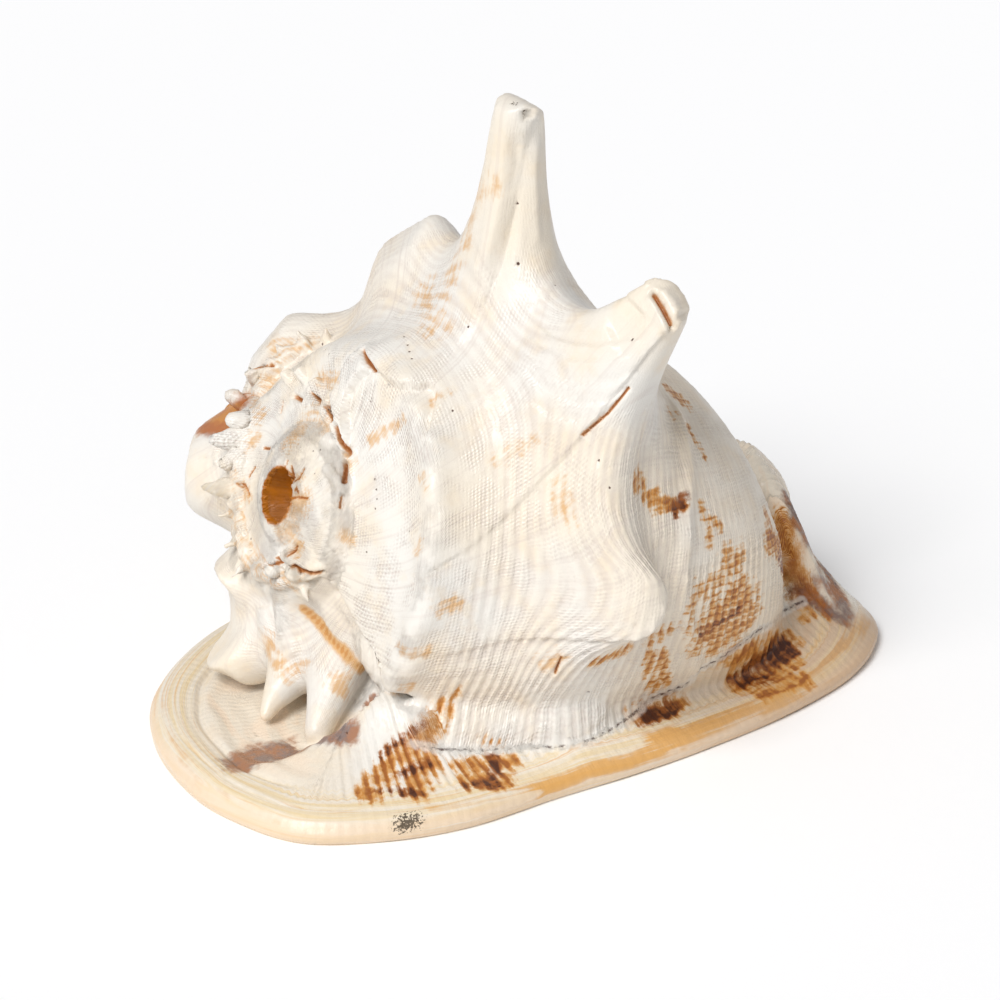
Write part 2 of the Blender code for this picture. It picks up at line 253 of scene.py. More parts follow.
# The healed growth crack between the last whorl and its thick lip.
CRACK = (
    (30, 30, 16), (36, 25.5, 15), (48, 23, 12.7), (61, 20.8, 10.8), (72, 16.4, 10.6), (81, 15.3, 10.5),
    (92, 18.6, 10.6), (101, 22, 11.6), (109, 24, 14), (120, 24.7, 15), (124, 22.4, 20), (134, 23.3, 22.5),
    (147, 25.8, 26), (158, 35, 23), (168, 45.4, 19), (177, 47.2, 19.5),
)

# Coloured marks: reach in millimetres, strength, and the line that they follow.
MARKS = {
    "brown": (
        (12, 0.8, ((124, 17, 35), (135, 21, 42))),
        (9, 0.6, ((126, 18, 50), (132, 20, 56))),
        (7, 0.95, ((11.5, 20, 10), (21.5, 27.5, 13.5), (33, 29.5, 17.5))),
        (6.5, 0.9, ((23.5, 15, 10), (32, 23.5, 13.5))),
        (6.5, 0.75, ((33, 29.5, 17.5), (43, 34, 22.5))),
        (4, 0.5, ((43, 34, 22.5), (46, 31, 28.5))),
        (5, 0.85, ((40, 19, 11.5), (46.5, 18.5, 11))),
        (5, 1.0, ((39, 12.5, 9.5), (49.5, 10, 8))),
        (5, 0.95, ((50, 19, 10.5), (55.5, 17, 9.5))),
        (4, 0.6, ((51, 25.5, 14), (55.5, 23.5, 12.5))),
        (7, 0.85, ((120, 16, 39), (137.5, 20, 41.5))),
        (7, 0.8, ((128, 20, 29), (143.5, 23, 35))),
        (5.5, 0.6, ((116.5, 14, 52), (134, 19, 52))),
        (5, 0.6, ((114, 13.5, 47), (116, 15.5, 39))),
        (5, 0.85, ((97.5, 15, 91), (105, 15, 82))),
        (3, 1.0, ((107, 15.5, 80.5), (114.5, 18.5, 78.5))),
        (4, 0.7, ((128, 49.5, 101), (134.5, 48, 94.5))),
        (3, 0.6, ((128, 38.5, 93), (130.5, 32.5, 84.5))),
        (3, 0.6, ((122.5, 21, 75.5), (123, 16.5, 64.5))),
        (3, 0.5, ((125, 20, 70.5), (128.5, 20, 67))),
        (6.5, 1.0, ((152, 29, 54), (175, 54, 26))),
        (5.5, 1.0, ((162.5, 38, 38.5), (177.5, 47, 19.5))),
        (3, 0.8, ((154, 34, 60), (156, 33, 53))),
        (7, 1.0, ((137, 24.5, 20.5), (166, 38.5, 12))),
        (5, 1.0, ((176, 59.5, 42.5), (176.5, 57, 35), (178, 54, 27.5), (179, 49.5, 21.5))),
        (4, 0.8, ((177, 50, 22.5), (181, 47.5, 19), (184.5, 44, 14.5))),
        (7, 1.0, ((141.5, 27.5, 9), (161.5, 31, 9))),
        (6.5, 1.0, ((102.5, 21.5, 10.5), (116, 23.5, 9.5))),
        (4, 0.8, ((101.5, 13, 39.5), (106.5, 13.5, 41))),
        (4, 0.7, ((101.5, 15, 33), (108, 22.5, 17.5))),
        (3, 0.7, ((106.5, 15.5, 33), (112, 22, 19))),
        (4, 0.85, ((80.5, 10, 39), (91, 12, 39.5))),
        (5.5, 0.8, ((145.5, 19.5, 7), (162, 23.5, 7))),
        (4, 0.6, ((174.5, 43.5, 16), (181, 45, 16))),
        (3, 0.6, ((121, 36.5, 99), (124, 38, 96.5))),
    ),
    "dark": (
        (3, 0.8, ((20, 31, 14), (27, 32, 17.5), (35.5, 32.5, 20))),
        (3, 0.9, ((13, 20.5, 10), (23.5, 14, 9.5))),
        (3, 0.9, ((22.5, 23, 12), (31, 23, 13))),
        (3, 0.8, ((37, 12, 9), (43, 10.5, 8.5))),
        (3, 0.9, ((52, 20.5, 11), (46.5, 9.5, 8))),
        (5, 1.0, ((103, 20, 9.5), (114.5, 23.5, 9.5))),
        (6.5, 1.0, ((146, 30.5, 11), (164.5, 37, 11))),
        (5, 0.9, ((141.5, 28.5, 9.5), (150, 27.5, 8.5))),
        (3, 0.95, ((110, 16, 78), (115.5, 19.5, 79.5))),
        (5, 0.9, ((159, 33.5, 44), (177.5, 50, 22))),
        (3, 0.7, ((125.5, 17.5, 36), (135.5, 20, 38))),
        (3, 0.7, ((119, 16, 38.5), (121.5, 17.5, 35))),
    ),
    "tan": (
        (5, 0.6, BAND),
        (3, 0.9, ((39, 69.5, 96), (41.5, 67, 99.5))),
        (3, 0.8, ((41.5, 67, 99.5), (43.5, 63.5, 102.5))),
        (3, 0.7, ((43.5, 63, 103), (45.5, 61, 105.5))),
        (3, 0.8, ((54.5, 57, 110), (57.5, 57, 111))),
        (3, 0.8, ((43, 45, 92), (43.5, 42.5, 91))),
        (3, 0.7, ((37, 38.5, 73.5), (38.5, 37.5, 76))),
        (3.5, 0.9, ((39.5, 30.5, 58), (43.5, 29, 59))),
        (3.5, 0.8, ((31, 36, 44), (35.5, 32, 45))),
        (3, 0.8, ((33, 46, 27), (32, 36.5, 32))),
        (3, 0.6, ((35, 76, 90.5), (34, 71.5, 87))),
        (3, 0.7, ((27.5, 65.5, 69.5), (29, 64, 68.5))),
        (6.5, 0.6, ((27, 98, 88), (34, 98.5, 93))),
        (6.5, 0.5, ((34, 98.5, 93), (35.5, 88.5, 94.5))),
        (7, 0.7, ((18, 85, 71), (20.5, 82, 75))),
        (5.5, 0.6, ((17, 87, 64), (18.5, 83, 66.5))),
        (5, 0.7, ((40.5, 142, 85), (43, 138, 89.5))),
        (4, 0.7, ((39, 144, 82), (31.5, 125, 84.5))),
        (3, 0.8, ((26, 129, 74.5), (28, 126.5, 78))),
        (3, 0.8, ((27, 123.5, 76.5), (28, 122, 78.5))),
        (3, 0.8, ((22, 119.5, 61.5), (22, 115.5, 64))),
        (3, 0.6, ((17.5, 106, 49), (18.5, 103.5, 51))),
        (4, 0.8, ((40.5, 102.5, 103.5), (41.5, 93.5, 104.5))),
        (3, 0.8, ((19, 81, 57.5), (20, 79.5, 63))),
        (4, 0.8, ((15, 90, 25), (17.5, 95, 29))),
        (4, 0.7, ((14, 85, 23.5), (14, 79.5, 21.5))),
        (3, 0.7, ((18, 77.5, 24), (19.5, 75, 26.5))),
        (3, 0.9, ((22, 63.5, 24.5), (24.5, 61, 20.5))),
        (3, 0.7, ((21, 64.5, 25), (26.5, 62, 24.5))),
        (7, 0.5, ((71.5, 95.5, 127.5), (65.5, 76.5, 123))),
        (7, 0.45, ((70, 84.5, 128.5), (79.5, 82.5, 151))),
        (5, 0.7, ((81, 79, 161.5), (81, 72.5, 166))),
        (5, 0.5, ((74.5, 22.5, 92.5), (75, 17, 83.5))),
        (4, 0.4, ((63.5, 37, 97.5), (73.5, 31.5, 103.5))),
        (5, 0.4, ((66, 16, 43), (69.5, 13, 42))),
        (3, 0.8, ((66.5, 16.5, 38.5), (69.5, 13, 42))),
        (4, 0.6, ((46.5, 145, 97), (51, 137, 97))),
        (4, 0.6, ((38.5, 147, 81), (36, 149, 79))),
        (3, 0.8, ((25, 100, 70.5), (22.5, 81, 76.5))),
        (3, 0.6, ((21.5, 88, 81), (23.5, 85.5, 81.5))),
    ),
    "orange": (
        (7, 1.0, ((143, 16, 6.5), (150, 18, 6.5), (157, 21, 6.5))),
        (5, 1.0, ((101, 11.5, 7.5), (106, 12, 7), (110.5, 13, 7))),
        (4.5, 0.95, (
            (58.5, 5.5, 5.5), (73, 7, 7), (93.5, 7, 5.5), (117.5, 12.5, 6.5), (141.5, 17, 6.5),
            (168, 25, 6.5),
            (185.5, 34.5, 8), (200.5, 47.5, 7.5))),
        (3, 0.6, ((23, 7.5, 7.5), (38, 4.5, 6.5), (59, 7, 6.5))),
        (3, 0.5, ((-23.5, 68, 8.5), (-23, 43.5, 6.5), (-16.5, 25, 5.5))),
        (2.5, 0.5, ((-14, 107.5, 8), (-23, 79, 8.5), (-26, 56.5, 6))),
    ),
    "streak": (
        (2.8, 1.0, ((21.5, 80, 41), (24, 76.5, 38), (25.5, 71, 35), (27, 65.5, 32), (31, 63, 26.5))),
    ),
    "purple": (
        (6, 0.95, ((181.5, 63.5, 46.5), (181.5, 59, 41.5), (184, 56.5, 35), (190, 58, 27))),
        (7, 0.9, ((193.5, 59.5, 20.5), (193.5, 53.5, 17), (192.5, 46.5, 12.5))),
        (6, 0.9, ((184, 61.5, 31.5), (184, 52.5, 23))),
        (5, 0.9, ((184, 52.5, 23), (194.5, 51, 14.5))),
        (6, 0.9, ((180, 47.5, 19.5), (189.5, 43.5, 12))),
        (10, 1.0, ((-12.5, 58, 8.5), (-2, 62, 7), (5.5, 60.5, 7.5))),
        (8, 1.0, ((2, 57, 7.5), (10, 54, 11), (16.5, 46.5, 16))),
        (4, 0.9, ((11, 58.5, 11), (24, 61, 12))),
        (2.5, 1.0, ((24, 61, 12), (34, 60.5, 17))),
        (3, 0.7, ((111.5, 17.5, 79.5), (117, 20.5, 80.5))),
    ),
    "grey": (
        (4.5, 0.9, ((13, 6.5, 5.5), (18, 6.5, 5.5))),
        (2.2, 0.9, ((87, 70, 191), (88.5, 67, 189.5))),
    ),
    "rust": (
        (12, 1.0, ((31, 156, 72), (33, 148, 76), (33, 138, 77))),
        (5, 0.8, ((27, 134, 70), (25, 132, 68))),
    ),
    "sooty": (
        (1.6, 0.9, ((31, 58, 68), (32, 57, 64), (31, 56, 61))),
    ),
}

# Fine features of the surface, each along a line: slits and cracks as depth and
# half width; steps, which raise the ground to the left of the line, as height
# and fade; ridges and hollows as height and half width; pits as radius.  A line
# may lie a little off the surface and still be on it.
LIFT_ALLOWED = 5.0
CUT_REACH, PIT_REACH = 5.0, 4.0
CUTS = (
    (1.8, 1.0, ((36, 112.5, 94.5), (36, 107.5, 95))),
    (2.2, 1.1, ((38, 105, 98.5), (37, 97.5, 98))),
    (2.6, 1.3, ((38.5, 92.5, 100), (36.5, 86, 96.5))),
    (2.4, 1.2, ((36, 83, 95), (35, 77.5, 91.5), (35, 75.5, 90.5))),
    (2.2, 1.1, ((33, 74.5, 87.5), (31, 71.5, 84))),
    (1.8, 1.0, ((29, 69.5, 80.5), (28, 68.5, 77.5))),
    (1.5, 0.9, ((42.5, 145.5, 90), (44.5, 139, 91.5))),
    (1.2, 0.8, ((19.5, 80.5, 62), (19, 81.5, 59))),
    (1.6, 0.9, ((18, 95, 50), (18, 91, 51.5), (18.5, 85.5, 55.5), (18.5, 87, 56.5))),
    (1.6, 0.9, ((19, 79, 56.5), (19.5, 76.5, 56), (22, 69, 57.5))),
    (1.2, 0.8, ((38, 150.5, 79.5), (39, 142, 82.5))),
    (0.9, 0.7, ((27.5, 116.5, 78), (27.5, 112, 79.5))),
    (1.3, 0.8, ((34.5, 117.5, 91), (33.5, 116, 88.5))),
    (1.0, 0.7, ((23, 120, 65.5), (22, 115.5, 64))),
    (1.0, 0.7, ((25, 117, 72), (23.5, 118.5, 68.5))),
    (0.8, 0.6, ((24, 94, 83.5), (21.5, 92.5, 81.5), (21, 87.5, 80), (20, 85, 77))),
    (0.8, 0.6, ((23.5, 91, 83), (22.5, 87, 81), (21, 87, 79.5))),
    (0.8, 0.6, ((25, 85.5, 84), (23.5, 85.5, 81.5), (21, 86.5, 79.5))),
    (0.8, 0.6, ((20, 86.5, 74.5), (21.5, 83, 76.5), (23, 80, 77))),
    (2.2, 1.2, ((102, 15.5, 148), (102.5, 12, 145.5), (103, 7.5, 141))),
    (1.5, 1.0, ((47.5, 89, 115.5), (46.5, 84.5, 114), (46, 80.5, 113))),
    (1.0, 0.7, ((19.5, 76.5, 48.5), (20.5, 76.5, 46.5))),
    (0.9, 0.6, ((70, 12.5, 42), (69.5, 15, 36))),
    (0.9, 0.7, ((93, 14, 122), (88, 17, 114), (82, 21, 107))),
)
STEPS = (
    (2.4, 13, (
        (48, 91.5, 116.5), (47, 84, 114), (46, 77, 113), (47, 71.5, 111.5), (48, 67.5, 111),
        (51.5, 63, 111.5), (54, 62.5, 112.5), (55, 60.5, 112), (54.5, 58, 110), (51.5, 55, 107),
        (46.5, 49.5, 102.5), (43.5, 47, 95))),
    (2.6, 8, (
        (35, 75.5, 90.5), (37, 80, 96), (39, 84, 100.5), (41, 86, 104), (44, 84.5, 109.5),
        (46, 80.5, 113))),
    (1.0, 3, (
        (46.5, 91.5, 116), (45, 93.5, 111.5), (41, 93, 104.5), (38.5, 92, 100), (37.5, 87, 98),
        (36.5, 81.5, 95.5))),
    (2.0, 8, (
        (39, 142, 82.5), (38, 150, 79.5), (36.5, 148.5, 78), (30, 131.5, 80.5), (28, 131, 77.5),
        (28, 141.5, 71.5), (25, 130, 72.5), (24, 127.5, 70), (23, 129, 67), (22.5, 136.5, 60),
        (20.5, 124.5, 58), (20.5, 119.5, 57.5), (19, 117.5, 53))),
    (1.6, 6, ((46.5, 142.5, 95.5), (43.5, 144, 92), (42.5, 145.5, 89.5), (40.5, 150.5, 84.5))),
    (2.0, 5, ((18, 95, 50), (18, 83, 51.5), (19, 74, 53), (22.5, 68.5, 57))),
    (0.9, 6, (
        (97, 11, 137.5), (93, 17.5, 135.5), (89, 24.5, 132), (86, 33, 130), (84, 43, 129.5),
        (83.5, 50.5, 131))),
    (0.9, 6, ((95, 12.5, 133.5), (89.5, 20, 129), (84.5, 30.5, 126), (81.5, 42.5, 126), (80.5, 52.5, 128.5))),
    (0.9, 6, ((95, 12, 128), (89.5, 17, 123), (82.5, 28, 120), (79, 41, 121.5), (78, 51.5, 125))),
    (0.8, 6, ((93.5, 13, 123.5), (88, 17, 117.5), (82.5, 24.5, 115), (77.5, 36, 116), (76, 47.5, 120.5))),
    (0.7, 6, ((86.5, 18, 113.5), (81.5, 23, 110.5), (76.5, 31.5, 110.5), (74, 41, 114))),
)
RISES = (
    (1.6, 3.0, (
        (127, 48.5, 101), (124, 35.5, 94), (121, 26, 85.5), (114.5, 16.5, 74.5), (111, 12.5, 61),
        (113, 14, 43.5), (122, 20, 25.5))),
    (-1.6, 5.0, ((105.5, 21, 106.5), (102, 17.5, 93), (99.5, 10, 74.5), (106.5, 11.5, 52.5))),
    (1.4, 3.5, ((84, 67.5, 166.5), (81, 69.5, 155.5), (78, 71.5, 144.5), (75, 73.5, 136.5))),
    (-2.0, 2.5, (
        (85.5, 66.5, 185), (86.5, 66.5, 174), (85, 67, 163), (83, 67, 152.5), (80, 67.5, 143.5),
        (77.5, 67.5, 136.5))),
    (1.0, 2.0, ((93, 66, 183.5), (92, 65.5, 171.5), (92, 65, 159.5), (91.5, 62.5, 148))),
    (-2.2, 6.0, ((98, 17.5, 145.5), (94, 19, 139.5), (91, 22.5, 135))),
    (1.2, 1.5, ((100.5, 16.5, 148), (101, 11.5, 144), (102, 7.5, 139))),
    (1.2, 1.6, ((104.5, 16, 149.5), (106, 11, 145.5), (105.5, 7.5, 140.5))),
    (1.0, 1.6, ((94.5, -4, 62), (93.5, -4, 57.5), (89.5, -3.5, 53), (85, -1, 50))),
    (0.9, 1.5, ((121.5, 19, 27.5), (122.5, 26, 12.5))),
    (-2.5, 1.6, ((89, 66, 191), (89.5, 65.5, 187))),
)
PITS = (
    (0.6, (56, 131.5, 100)), (0.6, (45, 109.5, 109)), (0.6, (43.5, 105.5, 109.5)),
    (0.5, (58, 134.5, 101)), (0.7, (86.5, 66, 161.5)), (0.9, (84.5, 63, 144.5)),
    (0.5, (93.5, 56, 139)), (0.5, (102, 60.5, 134.5)), (0.6, (57.5, 82.5, 119.5)),
    (0.6, (56.5, 78.5, 118.5)), (0.6, (55.5, 75.5, 117.5)), (0.6, (54.5, 72.5, 116.5)),
    (0.6, (71, 68.5, 125.5)), (0.6, (36, 63, 87)), (0.6, (35.5, 61, 84.5)), (0.6, (35, 59.5, 82)),
    (0.6, (34, 59, 79.5)), (0.6, (94, 15, 136)), (0.6, (84, 15.5, 100.5)), (0.5, (85.5, 11.5, 93)),
    (0.5, (28, 85.5, 89)), (0.5, (29, 83, 90)), (0.5, (26, 81, 84)), (0.6, (36.5, 45.5, 77)),
    (0.6, (56.5, 52, 107.5)), (0.6, (42.5, 77, 105)), (0.6, (83, 18.5, 25)), (0.5, (18.5, 109, 53)),
)

# Growth creases behind the horns, as angles at stations, and their depth.
CREASES = (
    (((5.9, 33), (6.6, 27), (7.2, 21), (7.7, 18), (8.1, 15.5), (8.6, 14)), 0.8),
    (((5.8, 92), (6.5, 80), (6.85, 72), (7.2, 64.5), (7.6, 57.5), (7.85, 52), (8.2, 47.5), (8.6, 46)), 0.9),
    (((5.8, 114), (6.4, 110), (7.0, 102), (7.6, 96), (8.0, 92.5), (8.6, 86)), 0.8),
)


# ---------------------------------------------------------------- growth form


def growth(angle):
    """Size of the last whorl at an angle, as a share of its size at the lip."""
    return WHORL_RATIO ** (((angle - LIP_ANGLE) % TURN) / TURN - 1.0)


def place(angle, radius, behind):
    """Points at an angle round the axis, a radius from it and behind the tip."""
    turn = np.radians(angle)
    across = np.multiply.outer(radius * np.cos(turn), BACK) + np.multiply.outer(radius * np.sin(turn), SIDE)
    return APEX - np.multiply.outer(behind, AXIS) + across


def through(points, steps, closed=False):
    """Points of a smooth Catmull-Rom curve through the given ones."""
    known = np.array(points, float)
    count = len(known)
    curve = []
    for i in range(count if closed else count - 1):
        near = [k % count if closed else min(max(k, 0), count - 1) for k in (i - 1, i, i + 1, i + 2)]
        p0, p1, p2, p3 = known[near]
        for t in np.arange(steps) / steps:
            bend = (2 * p0 - 5 * p1 + 4 * p2 - p3) * t ** 2 + (3 * p1 - p0 - 3 * p2 + p3) * t ** 3
            curve.append(0.5 * (2 * p1 + (p2 - p0) * t + bend))
    if not closed:
        curve.append(known[-1])
    return np.array(curve)


def unit(vector):
    """A vector, or each row of an array of them, at length one."""
    return vector / np.linalg.norm(vector, axis=-1, keepdims=True)


def ease(value, low, high):
    """A smooth step from 0 at low to 1 at high, either way round."""
    share = np.clip((value - low) / (high - low), 0.0, 1.0)
    return share * share * (3.0 - 2.0 * share)


def profile(angle):
    """Radius and distance behind the tip, along the shell from tip to canal."""
    size = growth(angle)
    drawn = 1.0 - LIP_DRAW * np.interp(angle, LIP_DRAW_ANGLES, (0, 1))
    drawn -= SHIELD_DRAW * np.interp(angle, SHIELD_DRAW_ANGLES, (0, 1, 1, 0))
    rounded = LIP_ROUNDING * np.interp(angle, LIP_ROUNDING_ANGLES, (0, 1))
    stations = [(0.0, 1.2)]
    for whorl in (2, 1):
        small = size / WHORL_RATIO ** whorl
        stations.append((RIDGE[0] * small, RIDGE[1] * small))
        stations.append((SUTURE[0] * small * WHORL_RATIO, SUTURE[1] * small * WHORL_RATIO))
    stations.append((0.5 * (SUTURE[0] + RIDGE[0]) * size, 0.49 * (SUTURE[1] + RIDGE[1]) * size))
    stations.append((RIDGE[0] * size, RIDGE[1] * size))
    half_drawn = 0.5 * (1.0 + drawn)
    between = (0.47 * (RIDGE[0] + SHOULDER[0]) * half_drawn, 0.53 * (RIDGE[1] + SHOULDER[1]))
    stations.append((between[0] * (1 + rounded) * size, between[1] * size))
    stations.append((SHOULDER[0] * (1 - rounded) * 0.5 * (half_drawn + drawn) * size, SHOULDER[1] * size))
    for radius, behind in FRONT_SLOPE:
        stations.append((radius * drawn * size, behind * size))
    return through(stations, STEPS_PER_STATION)


def raised(points, foot, tip, tip_radius, reach, flare):
    """Draw the surface near a foot out into a horn with a spread base."""
    start = place(*foot)
    way = place(*tip) - start
    length = np.linalg.norm(way)
    away = np.linalg.norm(points - start, axis=-1)
    spread = np.clip((away - tip_radius) / (reach - tip_radius), 1e-3, 1.0)
    height = flare * (spread - 1.0 - np.log(spread))
    height = height / (1.0 + (height / length) ** 4) ** 0.25
    return points + height[..., None] * (way / length)


def horn_angles(near, far):
    """Angles of the body's sections, closer together at the horns."""
    angles = [LIP_ANGLE - TURN - 4.0]
    while angles[-1] < LIP_ANGLE:
        nearest = min(abs(angles[-1] - horn[0][0]) for horn in HORNS.values())
        angles.append(angles[-1] + float(np.interp(nearest, (8, 16), (near, far))))
    return np.array(angles[:-1] + [LIP_ANGLE])


# ---------------------------------------------------------------- mesh making


def placed(name, data):
    """Make an object of some data and put it in the scene."""
    made = bpy.data.objects.new(name, data)
    bpy.context.scene.collection.objects.link(made)
    return made


def new_object(name, mesh_data):
    """Make an object from a bmesh and put it in the scene."""
    bmesh.ops.recalc_face_normals(mesh_data, faces=mesh_data.faces)
    mesh = bpy.data.meshes.new(name)
    mesh_data.to_mesh(mesh)
    mesh_data.free()
    return placed(name, mesh)


def loft(name, rings):
    """Skin closed rings of points, each with as many points as the next."""
    built = bmesh.new()
    rows = [[built.verts.new(point) for point in ring] for ring in rings]
    for near, far in zip(rows, rows[1:]):
        count = len(near)
        for i in range(count):
            j = (i + 1) % count
            built.faces.new((near[i], near[j], far[j], far[i]))
    built.faces.new(rows[0])
    built.faces.new(rows[-1])
    return new_object(name, built)


def removed(piece):
    """Take an object and its mesh out of the file."""
    mesh = piece.data
    bpy.data.objects.remove(piece)
    bpy.data.meshes.remove(mesh)


def join(pieces, name):
    """Join objects into one new object."""
    joined = bmesh.new()
    for piece in pieces:
        joined.from_mesh(piece.data)
        removed(piece)
    return new_object(name, joined)


def applied(piece):
    """Put the result of an object's modifiers into its mesh."""
    graph = bpy.context.evaluated_depsgraph_get()
    result = bpy.data.meshes.new_from_object(piece.evaluated_get(graph))
    piece.modifiers.clear()
    piece.data = result
    return piece


def fuse(piece, voxel, rounds):
    """Fuse overlapping forms to one skin and soften the joins."""
    remesh = piece.modifiers.new("fuse", "REMESH")
    remesh.mode = "VOXEL"
    remesh.voxel_size = voxel
    soften = piece.modifiers.new("soften", "SMOOTH")
    soften.factor = 0.5
    soften.iterations = rounds
    return applied(piece)


def cut(piece, cutter):
    """Take a cutter's volume out of a piece."""
    boolean = piece.modifiers.new("cut", "BOOLEAN")
    boolean.operation = "DIFFERENCE"
    boolean.solver = "EXACT"
    boolean.object = cutter
    applied(piece)
    removed(cutter)
    return piece


def mark_faces(piece, index):
    """Give a piece two material places and put all its faces in one of them."""
    piece.data.materials.clear()
    for _ in range(2):
        piece.data.materials.append(None)
    piece.data.polygons.foreach_set("material_index", [index] * len(piece.data.polygons))


def lining_of(piece):
    """Which points touch only faces of the second material place."""
    count = len(piece.data.polygons)
    places, sizes = np.empty(count, int), np.empty(count, int)
    piece.data.polygons.foreach_get("material_index", places)
    piece.data.polygons.foreach_get("loop_total", sizes)
    corners = np.empty(len(piece.data.loops), int)
    piece.data.loops.foreach_get("vertex_index", corners)
    lined = np.bincount(corners, np.repeat(places, sizes), len(piece.data.vertices))
    return lined >= np.bincount(corners, minlength=len(piece.data.vertices)) - 0.5


def thin(piece, triangles, spared=None):
    """Reduce a piece to a number of triangles, but not at the spared points."""
    piece.data.calc_loop_triangles()
    reduce = piece.modifiers.new("thin", "DECIMATE")
    if spared is not None:
        plain = piece.vertex_groups.new(name="plain")
        plain.add(np.flatnonzero(spared < SPARED_FROM).tolist(), 1.0, "REPLACE")
        reduce.vertex_group = plain.name
    reduce.ratio = min(1.0, triangles / len(piece.data.loop_triangles))
    reduce.use_collapse_triangulate = True
    return applied(piece)


def rows_of(elements, name):
    """A three-number property of a mesh's vertices or normals, as an array."""
    values = np.empty(len(elements) * 3, np.float32)
    elements.foreach_get(name, values)
    return values.reshape(-1, 3).astype(float)


def move_points(piece, points):
    """Put a piece's vertices where an array says."""
    piece.data.vertices.foreach_set("co", points.astype(np.float32).ravel())
    piece.data.update()


# ---------------------------------------------------------------- main forms


def coil_points(angles):
    """The body's surface as a grid: a row for each angle, tip to canal."""
    first = LIP_ANGLE - TURN + 0.01
    outlines = np.array([profile(float(np.clip(angle, first, LIP_ANGLE - 0.01))) for angle in angles])
    plain = place(angles[:, None] * np.ones(outlines.shape[1]), outlines[..., 0], outlines[..., 1])
    spots = plain
    for horn in HORNS.values():
        spots = raised(spots, *horn)
    return outlines, spots, np.linalg.norm(spots - plain, axis=-1)


def body():
    """The coiled body, as wedges round the axis from lip to lip."""
    outlines, spots, _ = coil_points(horn_angles(0.6, 1.5))
    axis_ends = APEX - np.multiply.outer(outlines[:, -1, 1], AXIS)
    return loft("body", np.concatenate([spots, axis_ends[:, None]], axis=1))


def plate_top(direction, inset, spot):
    """Height of the plate's upper side, inset from its edge."""
    lip = max(0.0, -sin(direction)) ** 0.7
    rear = max(0.0, -cos(direction)) ** 1.5
    shield = max(0.0, sin(direction))
    front = max(0.0, cos(direction)) ** 2
    rise = np.interp(spot[0], (40, 76), (0, 1))
    lip_height = (1 - rise) * np.interp(inset, *LOW_LIP)
    lip_height += rise * np.interp(inset / np.interp(spot[0], *LIP_STEP), *STEPPED_LIP)
    rear_height = np.interp(inset, *REAR)
    height = lip * lip_height + rear * rear_height
    height = height + shield * np.interp(inset, *SHIELD) + front * np.interp(inset, *FRONT)
    height /= lip + rear + shield + front
    under_claws = np.interp(spot[0], (18, 30, 70, 95), (0, 1, 1, 0))
    height += np.interp(spot[1], (22, 40, 49, 54), (0, 6, 7, 0)) * under_claws
    tray = np.interp(spot[1], (50, 57), (0, 1)) * np.interp(spot[0], (30, 42), (1, 0))
    return float((1 - tray) * height + tray * rear_height)


def plate_rings(insets, height_at):
    """Rings of the plate, inset from its edge towards its spine."""
    spine = np.array(PLATE_SPINE)
    rings = []
    for inset in insets:
        ring = []
        for point in through(PLATE_EDGE, EDGE_STEPS, closed=True):
            share = np.clip((point[0] - spine[0, 0]) / (spine[1, 0] - spine[0, 0]), 0, 1)
            toward = spine[0] + share * (spine[1] - spine[0]) - point
            span = np.linalg.norm(toward)
            depth = min(inset, 0.97 * span)
            spot = point + toward / span * depth
            direction = np.arctan2(-toward[1], -toward[0])
            ring.append((spot[0], spot[1], height_at(direction, depth, spot)))
        rings.append(ring)
    return rings


def plate():
    """The lip and the shield, spread into one flat-footed plate."""

    def foot(direction, inset, spot):
        """Height of the plate's lower side, which is the same all round."""
        return float(np.interp(inset, *FOOT))

    return loft("plate", plate_rings(TOP_INSETS, plate_top) + plate_rings(FOOT_INSETS, foot))


def tube(name, stations, sides=32):
    """A tube through stations of centre, half width and half thickness."""
    way = through(stations, 6)
    rings = []
    for i, station in enumerate(way):
        ahead = unit((way[min(i + 1, len(way) - 1)] - way[max(i - 1, 0)])[:3])
        level = unit(np.cross((0.0, 1.0, 0.0), ahead)) if abs(ahead[1]) < 0.9 else BACK
        across = np.cross(ahead, level)
        turns = 2 * pi * np.arange(sides) / sides
        ring = station[:3] + np.multiply.outer(np.cos(turns) * station[3], across)
        rings.append(ring + np.multiply.outer(np.sin(turns) * station[4], level))
    return loft(name, rings)


def band():
    """The lumpy ridge of the older whorl."""
    way = through(BAND, 4)
    widths = [2.8 + 0.6 * sin(1.9 * i) for i in range(len(way))]
    return tube("band", [(*spot, width, width) for spot, width in zip(way, widths)], 16)


def tooth(root, tip, width):
    """A small blunt cone from its root to its tip."""
    root, tip = np.array(root), np.array(tip)
    taper = ((-0.3, 1.0), (0.3, 0.8), (0.8, 0.42), (1.2, 0.1))
    stations = [(*(root + share * (tip - root)), width * part, width * part) for share, part in taper]
    return tube("tooth", stations, 16)


def hollow(wall):
    """The room inside the last whorl, round a central pillar."""
    rings = []
    for angle in np.arange(LIP_ANGLE - ROOM[0], LIP_ANGLE - ROOM[1], 6.0):
        size = growth(min(angle, LIP_ANGLE - 0.01))
        drawn = 1.0 - LIP_DRAW * np.interp(angle, LIP_DRAW_ANGLES, (0, 1))
        outer = (RIDGE, SHOULDER, FRONT_SLOPE[1], FRONT_SLOPE[2], (52.0, 160.0))
        room = [(26 * size + 4, 24 * size + wall)]
        for radius, behind in outer:
            room.append((max(radius * drawn * size - wall * 1.6, 18), behind * size + wall * (behind < 70)))
        room.append((18 * size + 2, 160 * size))
        rings.append([place(angle, radius, behind) for radius, behind in room])
    return loft("hollow", rings)


